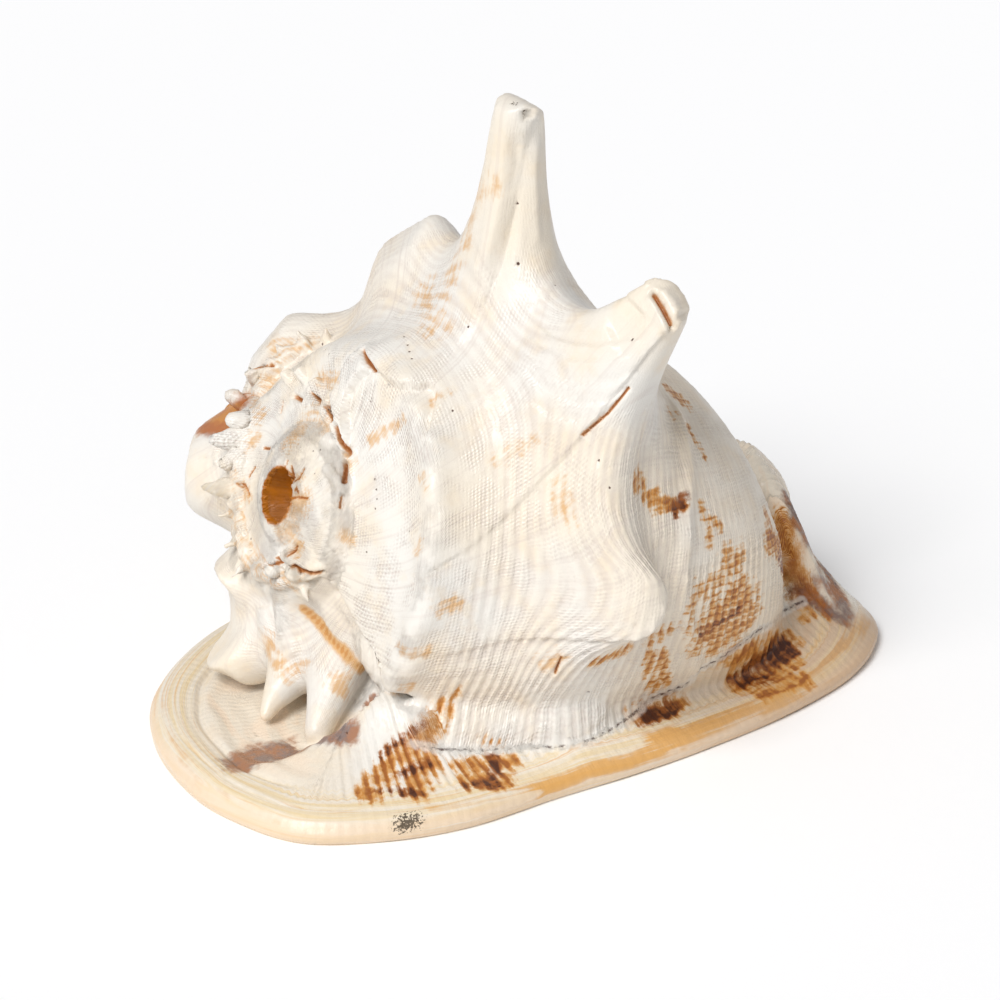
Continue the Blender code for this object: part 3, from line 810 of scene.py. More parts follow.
def mouth():
    """The long opening under the shell, between lip and shield."""
    way = through(MOUTH, 5)
    rings = []
    for height in (-6.0, 44.0):
        near = [(x, y - 0.5 * width, height) for x, y, width in way]
        far = [(x, y + 0.5 * width, height) for x, y, width in way[::-1]]
        rings.append(near + far)
    return loft("mouth", rings)


def tip_hole(radius):
    """The worn hole at the tip of the spire, narrowing inwards."""
    rings = []
    turns = 10.0 + 5.0 * np.arange(72)
    ragged = 0.30 * waves(turns / 18.0, 21) + 0.5 * np.abs(np.cos(np.radians(turns - 10.0))) ** 3
    for behind, wider in HOLE:
        rings.append([place(turn, radius + wider + rag, behind) for turn, rag in zip(turns, ragged)])
    return loft("tip_hole", rings)


def ground():
    """A block below the floor, which trims the foot flat."""
    block = bmesh.new()
    bmesh.ops.create_cube(block, size=1.0)
    bmesh.ops.scale(block, verts=block.verts, vec=(400, 400, 40))
    bmesh.ops.translate(block, verts=block.verts, vec=(90, 80, -20))
    return new_object("ground", block)


# ------------------------------------------------------- places on the surface


class Coil:
    """The body's grid, to look up where a point lies in the shell's growth."""

    def __init__(self):
        self.angles = np.arange(LIP_ANGLE - TURN - 4.0, LIP_ANGLE + 0.01, 1.0)
        _, self.spots, self.lifts = coil_points(self.angles)
        self.rows, self.columns = self.spots.shape[:2]
        faces = []
        for i in range(self.rows - 1):
            for j in range(self.columns - 1):
                corner = i * self.columns + j
                faces.append((corner, corner + self.columns, corner + self.columns + 1, corner + 1))
        self.tree = BVHTree.FromPolygons([Vector(spot) for spot in self.spots.reshape(-1, 3)], faces)
        undrawn = LIP_ANGLE - 60.0
        outline = profile(undrawn) / growth(undrawn)
        self.run = np.concatenate([[0.0], np.cumsum(np.linalg.norm(np.diff(outline, axis=0), axis=1))])

    def look_up(self, points):
        """Angle, station, distance from the body, rise of the horn and facing."""
        count = len(points)
        landed = np.empty((count, 3))
        facing = np.empty((count, 3))
        index = np.empty(count, int)
        away = np.empty(count)
        for k, point in enumerate(points.tolist()):
            spot, normal, index[k], away[k] = self.tree.find_nearest(point)
            landed[k] = spot
            facing[k] = normal
        row, column = np.divmod(index, self.columns - 1)
        corner = self.spots[row, column]
        along = self.spots[row + 1, column] - corner
        across = self.spots[row, column + 1] - corner
        offset = landed - corner
        aa, bb, ab = (along * along).sum(1), (across * across).sum(1), (along * across).sum(1)
        oa, ob = (offset * along).sum(1), (offset * across).sum(1)
        whole = np.maximum(aa * bb - ab * ab, 1e-9)
        u = np.clip((oa * bb - ob * ab) / whole, 0, 1)
        v = np.clip((ob * aa - oa * ab) / whole, 0, 1)
        next_row = np.minimum(row + 1, self.rows - 1)
        angle = self.angles[row] + u * (self.angles[next_row] - self.angles[row])
        station = (column + v) / STEPS_PER_STATION
        # The spire's stations are the older whorls, one or two turns back.
        older = np.where(station < 2.0, 2, np.where(station < SUTURE_AT, 1, 0))
        angle = angle - TURN * older
        station = np.where(older > 0, SUTURE_AT + 2.0 * (station - 4.0 + 2.0 * older), station)
        return angle, station, away, self.lifts[row, column], facing


def on_line(points, line, closed=False):
    """Distance from a line of points, and how far along it."""
    line = np.array(line, float)
    if closed:
        line = np.concatenate([line, line[:1]])
    starts, ways = line[:-1], np.diff(line, axis=0)
    lengths = np.linalg.norm(ways, axis=1)
    before = np.concatenate([[0.0], np.cumsum(lengths)[:-1]])
    best = np.full(len(points), 1e9)
    run = np.zeros(len(points))
    for start, way, length, passed in zip(starts, ways, lengths, before):
        offset = points - start
        share = np.clip(offset @ way / length ** 2, 0.0, 1.0)
        gap = offset - share[:, None] * way
        away = np.sqrt((gap * gap).sum(1))
        nearer = away < best
        best = np.where(nearer, away, best)
        run = np.where(nearer, passed + share * length, run)
    return best, run


def near_marks(points, marks):
    """How strongly each point is covered by soft marks along short lines."""
    cover = np.zeros(len(points))
    for reach, strength, line in marks:
        away, _ = on_line(points, line)
        cover = np.maximum(cover, strength * (1.0 - ease(away / reach, 0.05, 1.3)))
    return cover


def within(points, box):
    """How far points are inside a soft box."""
    share = 1.0
    for axis, outside, inside in box:
        share = share * ease(points[:, axis], outside, inside)
    return share


def along_axis(points):
    """How far points are from the coiling axis, and how far behind the tip."""
    offset = points - APEX
    behind = -(offset @ AXIS)
    return np.linalg.norm(offset + np.multiply.outer(behind, AXIS), axis=1), behind


def surface(points, coil):
    """Where points lie: in the coil's growth, and from the plate's edge."""
    angle, station, away, lift, facing = coil.look_up(points)
    edge = np.roll(through(PLATE_EDGE, EDGE_STEPS, closed=True), EDGE_STEPS * SEAM_SHIFT, axis=0)
    inset, along = on_line(points[:, :2], edge, closed=True)
    past = station - SHOULDER_AT
    seam_x, seam_y, seam_z = np.array(CRACK, float).T
    x, y, z = points.T
    above = 0.8 * (z - np.interp(x, seam_x, seam_z)) + 0.6 * (y - np.interp(x, seam_x, seam_y))
    by_seam = within(points, SEAM_BOX)
    off_body = ease(away, 2.6, 4.2) * (1.0 - within(points, BODY_BOX))
    rear = within(points, TRAY_BOX)
    return {
        "points": points,
        "facing": facing,
        "tray_side": rear,
        "tray": rear * ease(inset, 14, 20),
        "angle": angle,
        "station": station,
        "spire": (angle < LIP_ANGLE - TURN) * ease(away, 1.5, 0.5),
        "size": WHORL_RATIO ** ((angle - LIP_ANGLE) / TURN),
        "run": np.interp(station * STEPS_PER_STATION, np.arange(len(coil.run)), coil.run),
        "age": angle + SLANT[0] * np.minimum(past, 0) + SLANT[1] * np.maximum(past, 0),
        "inset": inset,
        "along": along,
        "plate": by_seam * ease(above, 0.4, -0.4) + (1.0 - by_seam) * off_body,
        "crack": on_line(points, CRACK)[0],
        "horn": ease(lift, 9.0, 26.0),
    }


# --------------------------------------------------------------- fine relief


def waves(position, seed, count=24):
    """A smooth wandering value along a line, from -1 to 1, about one wave a unit."""
    dice = np.random.default_rng(seed)
    value = np.zeros_like(position)
    for _ in range(count):
        rate, shift, weight = dice.uniform(0.25, 1.6), dice.uniform(0, 2 * pi), dice.uniform(0.4, 1.0)
        value += weight * np.sin(2 * pi * rate * position + shift)
    return value / count ** 0.5


def beside(points, normals, line, reach):
    """Which points are near a line on the surface, how far, and on which side."""
    line = np.array(line, float)
    near = ((points > line.min(axis=0) - reach) & (points < line.max(axis=0) + reach)).all(axis=1)
    index = np.flatnonzero(near)
    spots, facing = points[index], normals[index]
    gap = np.full(len(index), 1e9)
    side = np.zeros(len(index))
    run = np.zeros(len(index))
    passed = 0.0
    for start, end in zip(line[:-1], line[1:]):
        way = end - start
        offset = spots - start
        share = np.clip(offset @ way / (way @ way), 0.0, 1.0)
        off = offset - share[:, None] * way
        lift = (off * facing).sum(1)
        off = off - lift[:, None] * facing
        away = np.sqrt((off * off).sum(1)) + np.maximum(np.abs(lift) - LIFT_ALLOWED, 0.0)
        nearer = away < gap
        gap = np.where(nearer, away, gap)
        side = np.where(nearer, np.sign((np.cross(way, off) * facing).sum(1)), side)
        run = np.where(nearer, passed + share * np.linalg.norm(way), run)
        passed += np.linalg.norm(way)
    return index, gap, side, run / passed


def strokes(points, normals):
    """Height of the fine features, and how much of each point is slit or pit."""
    height, slit, pit = (np.zeros(len(points)) for _ in range(3))
    for depth, width, line in CUTS:
        index, gap, _, _ = beside(points, normals, line, CUT_REACH)
        height[index] -= depth * ease(gap, 0.9 * width, 0.1 * width)
        height[index] += 0.3 * depth * ease(gap, width, 1.4 * width) * ease(gap, 3.0 * width, 1.4 * width)
        slit[index] = np.maximum(slit[index], ease(gap, 0.95 * width, 0.1 * width))
    for rise, fade, line in STEPS:
        index, gap, side, run = beside(points, normals, line, 2.5 * fade)
        ends = ease(run, 0.0, 0.12) * ease(run, 1.0, 0.88)
        ledge = ease(side * gap, -0.2, 0.9) * np.exp(-(gap / fade) ** 2)
        ditch = 0.25 * ease(side * gap, 0.1, -0.4) * np.exp(-(gap / 1.5) ** 2)
        height[index] += ends * rise * (ledge - ditch)
    for rise, width, line in RISES:
        index, gap, _, run = beside(points, normals, line, 3.0 * width)
        ends = ease(run, 0.0, 0.15) * ease(run, 1.0, 0.85)
        height[index] += ends * rise * np.exp(-(gap / width) ** 2)
    for radius, spot in PITS:
        index, gap, _, _ = beside(points, normals, (spot, np.add(spot, 0.05)), PIT_REACH)
        height[index] -= 0.9 * radius * ease(gap, radius, 0.2 * radius)
        pit[index] = np.maximum(pit[index], ease(gap, 0.9 * radius, 0.3 * radius))
    return height, slit, pit


def bell(value, middle, width):
    """A soft hump, 1 at its middle."""
    return np.exp(-((value - middle) / width) ** 2)


def crease_relief(station, angle):
    """Height of the growth creases, each a step down that fades both ways."""
    height = np.zeros_like(station)
    for line, depth in CREASES:
        stations, angles = np.array(line, float).T
        past = angle - np.interp(station, stations, angles)
        first, last = stations[0], stations[-1]
        along = ease(station, first - 0.3, first + 0.2) * ease(station, last + 0.3, last - 0.2)
        depth = depth * np.interp(station, stations, np.linspace(0.4, 1.5, len(stations)))
        height -= along * depth * ease(past, -0.6, 0.6) * np.exp(-np.maximum(past, 0) / 7.0)
        height += along * 0.4 * depth * ease(past, 0.6, -0.6) * np.exp(np.minimum(past, 0) / 3.0)
    return height


def coil_relief(at):
    """Ribs, keel, knobs, growth lines and creases of the coiled body."""
    station, angle, age, size = at["station"], at["angle"], at["age"], at["size"]
    slope = ease(station, 6.0, 6.9)
    late = ease(angle, 50, 95)
    uneven = 0.75 + 0.35 * waves(age / 14.0, 14)
    ribs = np.cos(2 * pi * at["run"] / RIB_SPACING) * slope
    ribs = ribs * (0.10 + 0.26 * late) * uneven * (1.0 - at["horn"])
    nodules = 0.9 * bell(station, RIDGE_AT, 0.3) * (0.6 + 0.4 * np.cos(2 * pi * angle / 13.0)) * size
    keel = 2.1 * np.exp(-((station - RIDGE_AT - 0.08 * waves(angle / 16, 8)) / 0.2) ** 2)
    keel = ease(angle, 20, 45) * (keel - 1.5 * bell(station, 5.4, 0.4))
    lines = keel + 0.12 * waves(age / 3.2, 3) * size + nodules * ease(angle, 5, 25)
    lines += 0.12 * ease(station, 6.2, 5.6) * waves(age / 1.8, 4)
    lines += 0.22 * at["spire"] * np.sin(2 * pi * age / 5.0 + 2.0 * waves(station, 15))
    return ribs + lines + crease_relief(station, angle)


def layer_relief(at):
    """Height of the rim's layers."""
    phase = at["inset"] / 2.2 + 0.3 * waves(at["along"] / 60, 5)
    return at["plate"] * ease(at["inset"], 16, 9) * 0.22 * waves(phase, 8)


def fold_relief(at):
    """Height of the tray's folds and of the ribs on the plate beside it."""
    inset, along, tray_side = at["inset"], at["along"], at["tray_side"]
    wander = waves(along / 45, 6)
    folds = at["tray"] * 0.5 * waves(inset / 9.0 + 0.5 * wander, 12)
    folds = folds - 1.1 * np.exp(-((inset - 15 - 1.2 * wander) / 1.1) ** 2) * tray_side
    ribs = at["plate"] * (1.0 - tray_side) * ease(inset, 8, 13) * 0.28 * np.cos(2 * pi * along / RIB_SPACING)
    return folds + ribs


def relief(at):
    """Height of the fine relief over the smooth forms, along the normals."""
    return (1.0 - at["plate"]) * coil_relief(at) + layer_relief(at) + fold_relief(at)


def smooth_joins(shell, rounds):
    """Fill the hollow joins at the lip's seam and on the worn spire."""
    points = rows_of(shell.data.vertices, "co")
    from_axis, behind = along_axis(points)
    spire = ease(from_axis, 34, 26) * ease(behind, 30, 20)
    share = np.maximum(ease(on_line(points, CRACK)[0], 22, 10), 0.8 * spire)
    group = shell.vertex_groups.new(name="joins")
    for step in range(1, 11):
        index = np.flatnonzero(np.round(share * 10) == step)
        group.add(index.tolist(), step / 10, "REPLACE")
    soften = shell.modifiers.new("ease", "SMOOTH")
    soften.factor = 0.8
    soften.iterations = rounds
    soften.vertex_group = group.name
    applied(shell)
    shell.vertex_groups.clear()


def dress(shell, at, hole):
    """Write what the finish needs to know at each point into the mesh."""
    points = at["points"]
    values = {name: near_marks(points, marks) for name, marks in MARKS.items()}
    values["purple"] = values["purple"] * np.maximum(at["plate"], 1.0 - at["horn"])
    glaze = ease(on_line(points, GLAZE)[0], 24, 12) * at["plate"]
    glaze = glaze * ease(points[:, 0] + 0.5 * points[:, 1], 196, 206)
    from_axis, behind = along_axis(points)
    in_hole = ease(from_axis, hole + 0.8, hole + 0.2) * ease(behind, 1.2, 3.2) * ease(behind, 60, 50)
    values.update({
        "rib": at["run"] / RIB_SPACING,
        "round_rib": at["along"] / RIB_SPACING,
        "peach": np.maximum(at["tray"], glaze),
        "inner": np.maximum(at["lining"], in_hole),
    })
    for name in ("age", "station", "inset", "plate", "crack", "horn", "slit", "pit"):
        values[name] = at[name]
    for group, names in MEASURES.items():
        attribute = shell.data.attributes.new(group, "FLOAT_VECTOR", "POINT")
        triples = np.stack([values[name] for name in names], axis=1)
        attribute.data.foreach_set("vector", triples.astype(np.float32).ravel())


def fitted(points):
    """Points in the frame's metres, drawn in to the solid's own box."""
    low, high = points.min(axis=0), points.max(axis=0)
    share = (points - low) / (high - low)
    return CAD_LOW + share * (CAD_HIGH - CAD_LOW)


# -------------------------------------------------------------------- finish


class Value:
    """A number on a node's socket; arithmetic on it adds Math nodes."""

    def __init__(self, graph, socket):
        self.graph = graph
        self.socket = socket

    def maths(self, operation, *values):
        """The result of a Math node on some values."""
        return self.graph.value("ShaderNodeMath", {"operation": operation}, values)

    def __add__(self, other):
        return self.maths("ADD", self, other)

    def __sub__(self, other):
        return self.maths("SUBTRACT", self, other)

    def __rsub__(self, other):
        return self.maths("SUBTRACT", other, self)

    def __mul__(self, other):
        return self.maths("MULTIPLY", self, other)

    __radd__ = __add__
    __rmul__ = __mul__

    def sine(self):
        return self.maths("SINE", self)

    def eased(self, low, high):
        """A smooth step from 0 at low to 1 at high, either way round."""
        if low > high:
            return 1.0 - self.eased(high, low)
        settings = {"interpolation_type": "SMOOTHSTEP"}
        inputs = {"Value": self, "From Min": low, "From Max": high}
        return self.graph.value("ShaderNodeMapRange", settings, inputs)


class Graph:
    """A material's node graph."""

    def __init__(self, name):
        self.material = bpy.data.materials.new(name)
        self.material.use_nodes = True
        self.tree = self.material.node_tree
        self.shader = self.tree.nodes["Principled BSDF"]

    def feed(self, socket, value):
        """Link or set one input socket."""
        if isinstance(value, Value):
            self.tree.links.new(value.socket, socket)
        elif isinstance(value, bpy.types.NodeSocket):
            self.tree.links.new(value, socket)
        elif socket.type == "RGBA":
            socket.default_value = (*value, 1.0)
        else:
            socket.default_value = value

    def node(self, kind, settings=None, inputs=()):
        """Make a node of a type, with its settings and then its inputs."""
        made = self.tree.nodes.new(kind)
        for key, setting in (settings or {}).items():
            setattr(made, key, setting)
        pairs = inputs.items() if isinstance(inputs, dict) else enumerate(inputs)
        for key, value in pairs:
            self.feed(made.inputs[key], value)
        return made

    def value(self, kind, settings=None, inputs=()):
        """The first output of a new node, as a value."""
        return Value(self, self.node(kind, settings, inputs).outputs[0])

    def mix(self, share, low, high):
        """A colour between two others."""
        inputs = {0: share, 6: low, 7: high}
        return self.node("ShaderNodeMix", {"data_type": "RGBA"}, inputs).outputs[2]

    def attribute(self, name):
        """The three numbers of a mesh attribute."""
        stored = self.node("ShaderNodeAttribute", {"attribute_name": name})
        parts = self.node("ShaderNodeSeparateXYZ", None, (stored.outputs["Vector"],))
        return [Value(self, output) for output in parts.outputs]

    def vector(self, x, y, z):
        """Three numbers as one vector."""
        return self.node("ShaderNodeCombineXYZ", None, (x, y, z)).outputs[0]

    def noise(self, vector, scale, detail=2.0, rough=0.5, warp=0.0):
        """Cloudy noise from 0 to 1."""
        inputs = {"Vector": vector, "Scale": scale, "Detail": detail, "Roughness": rough, "Distortion": warp}
        return self.value("ShaderNodeTexNoise", None, inputs)

    def streaky(self, x, y, z, detail=3.0, rough=0.6, warp=0.0):
        """Noise over three measures, drawn out where a measure changes slowly."""
        return self.noise(self.vector(x, y, z), 1.0, detail, rough, warp)


def patterns(graph):
    """What the finish is made from: the stored measures and the noises on them."""
    at = SimpleNamespace()
    inputs = {0: graph.node("ShaderNodeTexCoord").outputs["Object"], "Scale": 1.0 / MM}
    spot = graph.node("ShaderNodeVectorMath", {"operation": "SCALE"}, inputs).outputs[0]
    places = graph.node("ShaderNodeSeparateXYZ", None, (spot,)).outputs
    at.x, at.z = Value(graph, places[0]) + BASE_CENTRE[0], Value(graph, places[2])
    for group, names in MEASURES.items():
        for name, value in zip(names, graph.attribute(group)):
            setattr(at, name, value)

    at.cloud = graph.noise(spot, 0.022, 3.0)
    at.patch = graph.noise(spot, 0.09, 3.0, 0.6)
    at.blot = graph.noise(spot, 0.17, 4.0, 0.65)
    at.grain = graph.noise(spot, 0.45, 4.0, 0.65)
    at.fine = graph.noise(spot, 1.6, 3.0, 0.6)
    at.growth_lines = graph.streaky(at.age * 0.55, at.station * 0.35, 0.0)
    at.layer = graph.streaky(at.inset * 0.6 - at.z * 0.45, at.round_rib * 0.03, 0.0, 4.0, 0.65)
    at.sheet = graph.streaky(at.inset * 1.8 - at.z * 1.1, at.round_rib * 0.07, 4.0)

    # Ribs run with the growth on the whorl and round the edge on the plate, and
    # threads and rungs cross them.
    wander = at.patch - 0.5
    at.rib_phase = at.rib + (at.round_rib - at.rib) * at.plate
    at.rib_wave = (at.rib_phase * (2 * pi) + wander * 2.4 + 0.5 * pi).sine()
    at.groove = 0.5 - at.rib_wave * 0.5
    at.fine_rib = (at.rib_phase * (6 * pi) + wander * 12.0).sine()
    cross_phase = at.age + (at.inset * 0.42 - at.age) * at.plate
    at.ramp = at.station.eased(6.2, 5.7) * (1.0 - at.plate)
    at.thread = (cross_phase * (7.0 - at.ramp * 3.0) + wander * 16.0).sine()
    at.rung = (cross_phase * 3.3 + wander * 14.0 + 1.0).sine()

    at.slope = at.station.eased(6.0, 6.9) * (1.0 - at.horn)
    weave = graph.noise(spot, 0.12).eased(0.35, 0.65) * (1.0 - at.plate * 0.8)
    at.weave = weave * (1.0 - at.horn * 0.8) * (1.0 - at.peach)
    at.rim = at.plate * (at.inset + (at.layer - 0.5) * 9.0).eased(18.0, 9.0)
    at.seam = at.crack + (at.fine - 0.5) * 0.8
    at.seam_line = at.seam.eased(0.75, 0.15)
    return at


def ground_coats(graph, at, colours):
    """Clouds and growth lines of the pale ground, painted shade in the furrows between its ribs, and its
    right side warmer and darker, partly painted shade.
    """
    # Painted shade: the furrows between the ribs are darkened with the shade colour.
    groove_shade = at.groove * at.slope * at.patch.eased(0.25, 0.6) * (1.0 - at.plate * 0.6)
    # Partly painted shade: the body grows warmer and darker towards the right, the side turned from the
    # light, and partly a warmer tone near the lip.
    right_warmth_and_shade = at.x.eased(100.0, 128.0) * (1.0 - at.horn)
    net = (at.thread * 0.45 + at.fine_rib * 0.4 + (at.grain - 0.5) * 3.4).eased(-0.3, 1.2)
    return (
        (at.cloud.eased(0.38, 0.62), colours.cream),
        (at.patch.eased(0.48, 0.72) * 0.5, colours.warm),
        (at.growth_lines.eased(0.5, 0.75) * 0.35, colours.shade),
        (groove_shade * 0.35, colours.shade),
        (right_warmth_and_shade * (0.25 + at.patch * 0.4), colours.warm),
        (net * at.weave * (at.ramp * 0.35 + 0.4), colours.shade),
    )


def rim_coats(graph, at, colours):
    """The rim's layers, the orange in them, and the brownish peach of the lip's far end, partly painted
    shade.
    """
    layers = graph.mix(at.layer.eased(0.38, 0.58), colours.rim, colours.cream)
    band = at.orange + (at.layer - 0.5) * 2.2 + (at.sheet - 0.5) * 1.6 + (at.patch - 0.5) * 1.4
    band = band.eased(0.3, 1.05)
    # Partly painted shade: the plate turns browner and darker towards the lip's far end, the side turned from
    # the light, and partly a warmer tone there.
    far_end_tone_and_shade = at.plate * at.x.eased(95.0, 175.0) * (at.layer.eased(0.3, 0.6) * 0.35 + 0.35)
    return (
        (at.rim * 0.9, layers),
        (at.rim * at.sheet.eased(0.54, 0.68) * 0.55, colours.orange),
        (at.rim * at.inset.eased(3.5, 0.5) * 0.6, colours.peach),
        (at.rim * at.sheet.eased(0.42, 0.3) * 0.4, colours.white),
        (band * at.orange.eased(0.0, 0.4) * 0.7, colours.amber),
        ((band + at.orange - 0.9).eased(0.2, 1.0) * 0.75, colours.orange),
        (far_end_tone_and_shade, colours.far_end_tone_and_shade),
    )


def glaze_coats(graph, at, colours):
    """The folded glaze of the tray and of the canal."""
    fold = graph.streaky(at.inset * 0.11, at.round_rib * 0.09, 0.0, 2.5, 0.5, 0.8)
    glaze = graph.mix(fold.eased(0.36, 0.54), colours.blush, colours.cream)
    glaze = graph.mix(fold.eased(0.60, 0.74) * 0.5, glaze, colours.peach)
    return ((at.peach, glaze),)


def blotch_coats(graph, at, colours):
    """Blotches broken up by the ribs, the golden streak, rust, soot and purple."""
    streaks = graph.streaky(at.age * 1.1, at.station * 1.4, 7.0)
    drawn = graph.streaky(at.age * 0.22, at.rib_phase * 1.6, 3.0, 4.0, 0.65)
    right = at.x.eased(85.0, 115.0)
    broken = (at.blot - 0.5) * 2.4 + (drawn - 0.5) * 1.8 + (at.grain - 0.5) * 0.9
    across = (at.thread * 0.08 + at.rung * 0.16) * (streaks * 2.0) * (right * 0.9 + 0.3)
    banded = (at.groove - 0.5) * (0.5 - right * 0.34) + across
    dashed = at.tan + broken * 0.7 + banded * 0.5 + (streaks - 0.5) * 1.4
    stain = at.brown + broken * 0.85
    deep = at.dark + broken * 0.8
    golden = at.streak + (at.blot - 0.5) * 0.5 + (drawn - 0.5) * 0.4
    purple = at.purple + (at.blot - 0.5) * 0.9 + (at.grain - 0.5) * 0.6
    reddish = graph.mix((at.patch - 0.4).eased(0.0, 0.2), colours.rust, colours.tan)
    clouded = graph.mix(at.blot.eased(0.4, 0.6), colours.purple, colours.brown)
    return (
        (dashed.eased(0.1, 1.0) * at.tan.eased(0.0, 0.3) * 0.72, colours.amber),
        ((stain + banded * 0.6).eased(0.15, 0.75) * at.brown.eased(0.0, 0.45) * 0.85, colours.amber),
        ((stain + banded * 1.1).eased(0.4, 0.95) * at.brown.eased(0.0, 0.5) * 0.9, colours.tan),
        ((stain + banded * 1.4).eased(0.75, 1.3) * at.brown.eased(0.05, 0.5) * 0.9, colours.brown),
        ((deep + banded * 0.7).eased(0.2, 0.8) * at.dark.eased(0.0, 0.45), colours.brown),
        ((deep + banded * 1.2).eased(0.65, 1.15) * at.dark.eased(0.1, 0.6) * 0.95, colours.dark),
        (golden.eased(0.1, 0.7) * 0.85, colours.amber),
        ((golden + (at.groove - 0.5) * 0.3).eased(0.7, 1.0) * 0.7, colours.tan),
        ((at.rust + (at.blot - 0.5) * 0.9).eased(0.35, 0.7) * 0.95, reddish),
        ((at.sooty + (at.grain - 0.5) * 1.2).eased(0.6, 0.8), colours.grey),
        (purple.eased(0.3, 0.85) * 0.85, clouded),
    )


def worn_and_shade_coats(graph, at, colours):
    """Slits browned, partly their own colour and partly painted shade in their depths, pits painted
    near-black as shade, dirt, the healed crack with its pale lip, and the inside.
    """
    dirt = (at.grey + (at.fine - 0.5) * 2.0).eased(0.55, 0.8) * at.grey.eased(0.05, 0.3)
    return (
        # Partly painted shade: tan and brown fill the slits, darkest in their depths.
        (at.slit.eased(0.1, 0.6) * 0.8, colours.tan),
        ((at.slit + (at.grain - 0.5) * 0.6).eased(0.45, 0.95) * 0.9, colours.brown),
        # Painted shade: the pits are made near-black.
        (at.pit.eased(0.3, 0.8) * 0.95, colours.dark),
        (dirt, colours.grey),
        (at.seam.eased(2.4, 1.2) * 0.55, colours.white),
        (at.seam_line * 0.9, colours.dark),
        (at.inner, colours.gold),
    )


def shell_finish(colours):
    """Cream glossy shell with ribbed brown blotches and a layered rim."""
    graph = Graph("cream_shell")
    at = patterns(graph)
    colour = colours.white
    for coats in (ground_coats, rim_coats, glaze_coats, blotch_coats, worn_and_shade_coats):
        for share, tint in coats(graph, at, colours):
            colour = graph.mix(share, colour, tint)
    graph.feed(graph.shader.inputs["Base Color"], colour)
    graph.feed(graph.shader.inputs["Roughness"], 0.34 + (at.grain - 0.5) * 0.25 + at.peach * -0.08)

    threads = at.thread * 0.35 + at.fine_rib * 0.45 + (at.growth_lines - 0.5) * 2.0
    height = threads * at.weave * (at.ramp * -0.15 - 0.2) + (at.grain - 0.5) * 0.3 + (at.fine - 0.5) * 0.12
    height = height + (at.layer - 0.5) * at.rim * 0.4 - at.seam_line * 0.3 - at.rib_wave * at.plate * 0.05
    bump = graph.node("ShaderNodeBump", None, {"Strength": 0.6, "Distance": MM, "Height": height})
    graph.feed(graph.shader.inputs["Normal"], bump.outputs[0])
    graph.feed(graph.shader.inputs["Specular IOR Level"], 0.45)
    graph.feed(graph.shader.inputs["Subsurface Weight"], 0.0)
    return graph.material


# -------------------------------------------------------------------- add-on


class ShellSizes(PropertyGroup):
    """Sizes of the shell's modelling."""

    voxel: FloatProperty(
        name="Skin step", description="Voxel size of the fused skin, in millimetres", default=0.55)
    triangles: IntProperty(name="Triangles", description="Triangles left in the skin", default=185000)
    easing: IntProperty(name="Easing", description="Rounds of smoothing at the hollow joins", default=180)
    wall: FloatProperty(
        name="Wall", description="Thickness of the shell's wall, in millimetres", default=6.0)
    hole: FloatProperty(
        name="Tip hole", description="Radius of the worn hole, in millimetres", default=HOLE_RADIUS)


def tint(name, description, default):
    """A colour setting."""
    return FloatVectorProperty(
        name=name, description=description, subtype="COLOR", size=3, min=0.0, max=1.0, default=default)


class ShellColours(PropertyGroup):
    """Colours of the shell."""

    white: tint("White", "The shell's palest ground", (0.775, 0.745, 0.69))
    cream: tint("Cream", "The shell's creamy ground", (0.79, 0.71, 0.59))
    warm: tint("Warm", "Warm clouds in the ground", (0.79, 0.66, 0.49))
    # Painted shade: this pinkish grey darkens the furrows between the ribs; it also tints the growth lines
    # and the net.
    shade: tint("Shade", "Pinkish grey between the ribs", (0.56, 0.475, 0.43))
    rim: tint("Rim", "The yellow of the rim's layers", (0.76, 0.60, 0.35))
    orange: tint("Orange", "The orange of the rim's layers", (0.70, 0.37, 0.10))
    peach: tint("Peach", "The glaze of the shield and the canal", (0.78, 0.58, 0.40))
    # Partly painted shade: this brownish peach darkens the lip's far end.
    far_end_tone_and_shade: tint("Clay", "Brownish peach of the lip's far end", (0.54, 0.34, 0.19))
    amber: tint("Amber", "Golden stain round the blotches", (0.64, 0.34, 0.095))
    blush: tint("Blush", "Pinkish cream of the tray", (0.84, 0.70, 0.55))
    tan: tint("Tan", "Light brown marks", (0.52, 0.21, 0.035))
    rust: tint("Rust", "Smooth orange-brown patches", (0.40, 0.12, 0.022))
    brown: tint("Brown", "Brown marks", (0.31, 0.095, 0.016))
    # Also painted shade: this near-black fills the pits.
    dark: tint("Dark brown", "The cores of the marks", (0.06, 0.013, 0.004))
    purple: tint("Purple", "Purplish brown under the glaze", (0.16, 0.09, 0.08))
    grey: tint("Grey", "Worn, dirty patches", (0.12, 0.09, 0.06))
    gold: tint("Gold", "The golden brown inside", (0.48, 0.16, 0.012))


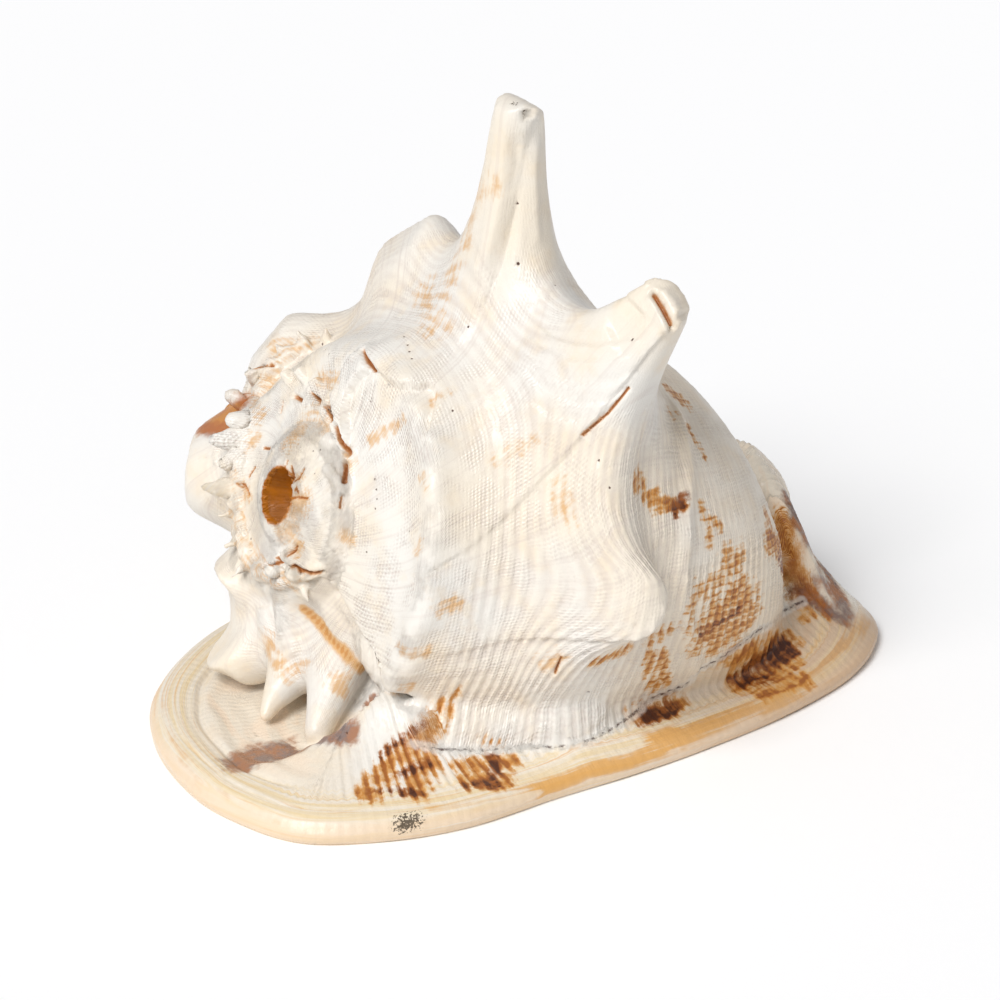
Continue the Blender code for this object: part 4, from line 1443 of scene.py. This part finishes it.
class SHELL_OT_grow(Operator):
    """Grow the detailed shell in place of its solid"""

    bl_idname = "shell.grow"
    bl_label = "Grow Shell"

    def execute(self, context):
        sizes, colours = context.scene.shell_sizes, context.scene.shell_colours
        coil = Coil()

        # The smooth forms in one skin, and then the worn ridge fused on to it.
        forms = [body(), plate(), tube("spout", SPOUT), tube("canal_wall", CANAL_WALL)]
        forms += [tube("fill", SEAM_FILL)] + [tube("web", web) for web in WEBS]
        shell = fuse(join(forms, "shell_forms"), sizes.voxel, 3)
        smooth_joins(shell, sizes.easing)
        worn_ridge = [band()] + [tooth(*spot) for spot in TEETH]
        shell = fuse(join([shell] + worn_ridge, "helmet_shell"), sizes.voxel, 2)

        # The fine relief, along the normals, and the thinning between it.
        points, normals = rows_of(shell.data.vertices, "co"), rows_of(shell.data.vertex_normals, "vector")
        at = surface(points, coil)
        height, slit, pit = strokes(points, at["facing"])
        height += relief(at)
        move_points(shell, points + normals * height[:, None])
        thin(shell, sizes.triangles, np.maximum(slit, pit))

        # The openings.  The inside marks the faces that it cuts, for the lining.
        inside = fuse(join([hollow(sizes.wall), mouth(), tube("canal", CHANNEL)], "inside"), INSIDE_VOXEL, 4)
        thin(inside, INSIDE_TRIANGLES)
        mark_faces(shell, 0)
        mark_faces(inside, 1)
        cut(shell, inside)
        cut(shell, tip_hole(sizes.hole))
        cut(shell, ground())

        # The measures for the finish, the solid's place and the finish.
        points = rows_of(shell.data.vertices, "co")
        at = surface(points, coil)
        at["slit"], at["pit"] = strokes(points, at["facing"])[1:]
        at["lining"] = lining_of(shell)
        dress(shell, at, sizes.hole)
        move_points(shell, fitted(points))
        shell.data.materials.clear()
        shell.data.materials.append(shell_finish(colours))
        shell.data.shade_smooth()
        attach(shell, "root")
        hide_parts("shell")
        return {"FINISHED"}


class SHELL_OT_stage(Operator):
    """Set up the floor, the soft light and the camera"""

    bl_idname = "shell.stage"
    bl_label = "Set Up Studio"

    def execute(self, context):
        world = bpy.data.worlds.new("studio")
        world.use_nodes = True
        sky = world.node_tree.nodes["Background"].inputs
        sky["Color"].default_value = (*SKY_COLOUR, 1.0)
        sky["Strength"].default_value = SKY_STRENGTH
        context.scene.world = world
        context.scene.view_settings.view_transform = "Standard"

        floor_mesh = bmesh.new()
        bmesh.ops.create_grid(floor_mesh, x_segments=1, y_segments=1, size=FLOOR_REACH)
        floor = new_object("floor", floor_mesh)
        paint = Graph("pale_floor")
        paint.feed(paint.shader.inputs["Base Color"], FLOOR_COLOUR)
        paint.feed(paint.shader.inputs["Roughness"], 0.8)
        floor.data.materials.append(paint.material)
        floor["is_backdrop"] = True

        turn, rise = VIEW
        back = Vector((sin(turn) * cos(rise), -cos(turn) * cos(rise), sin(rise)))
        camera = placed("camera", bpy.data.cameras.new("camera"))
        camera.data.lens = LENS
        camera.location = Vector((VIEW_CENTRE - BASE_CENTRE) * MM) + back * VIEW_DISTANCE
        camera.rotation_euler = (-back).to_track_quat("-Z", "Y").to_euler()
        context.scene.camera = camera

        key = placed("key", bpy.data.lights.new("key", "SUN"))
        key.data.energy = KEY_STRENGTH
        key.data.angle = KEY_SOFTNESS
        key.rotation_euler = Vector(KEY_FROM).to_track_quat("Z", "Y").to_euler()
        return {"FINISHED"}


class SHELL_PT_panel(Panel):
    """The shell's sizes, colours and steps"""

    bl_idname = "SHELL_PT_panel"
    bl_label = "Helmet Shell"
    bl_space_type = "VIEW_3D"
    bl_region_type = "UI"
    bl_category = "Shell"

    def draw(self, context):
        for group in (context.scene.shell_sizes, context.scene.shell_colours):
            for name in group.__annotations__:
                self.layout.prop(group, name)
        self.layout.operator(SHELL_OT_grow.bl_idname)
        self.layout.operator(SHELL_OT_stage.bl_idname)


CLASSES = (ShellSizes, ShellColours, SHELL_OT_grow, SHELL_OT_stage, SHELL_PT_panel)


def register():
    """Register the classes and the scene's settings."""
    for each in CLASSES:
        bpy.utils.register_class(each)
    bpy.types.Scene.shell_sizes = PointerProperty(type=ShellSizes)
    bpy.types.Scene.shell_colours = PointerProperty(type=ShellColours)


def unregister():
    """Take the classes and the scene's settings out again."""
    del bpy.types.Scene.shell_colours
    del bpy.types.Scene.shell_sizes
    for each in reversed(CLASSES):
        bpy.utils.unregister_class(each)


def main():
    """Build the scene."""
    register()
    bpy.ops.shell.grow()
    bpy.ops.shell.stage()


if __name__ == "__main__":
    main()
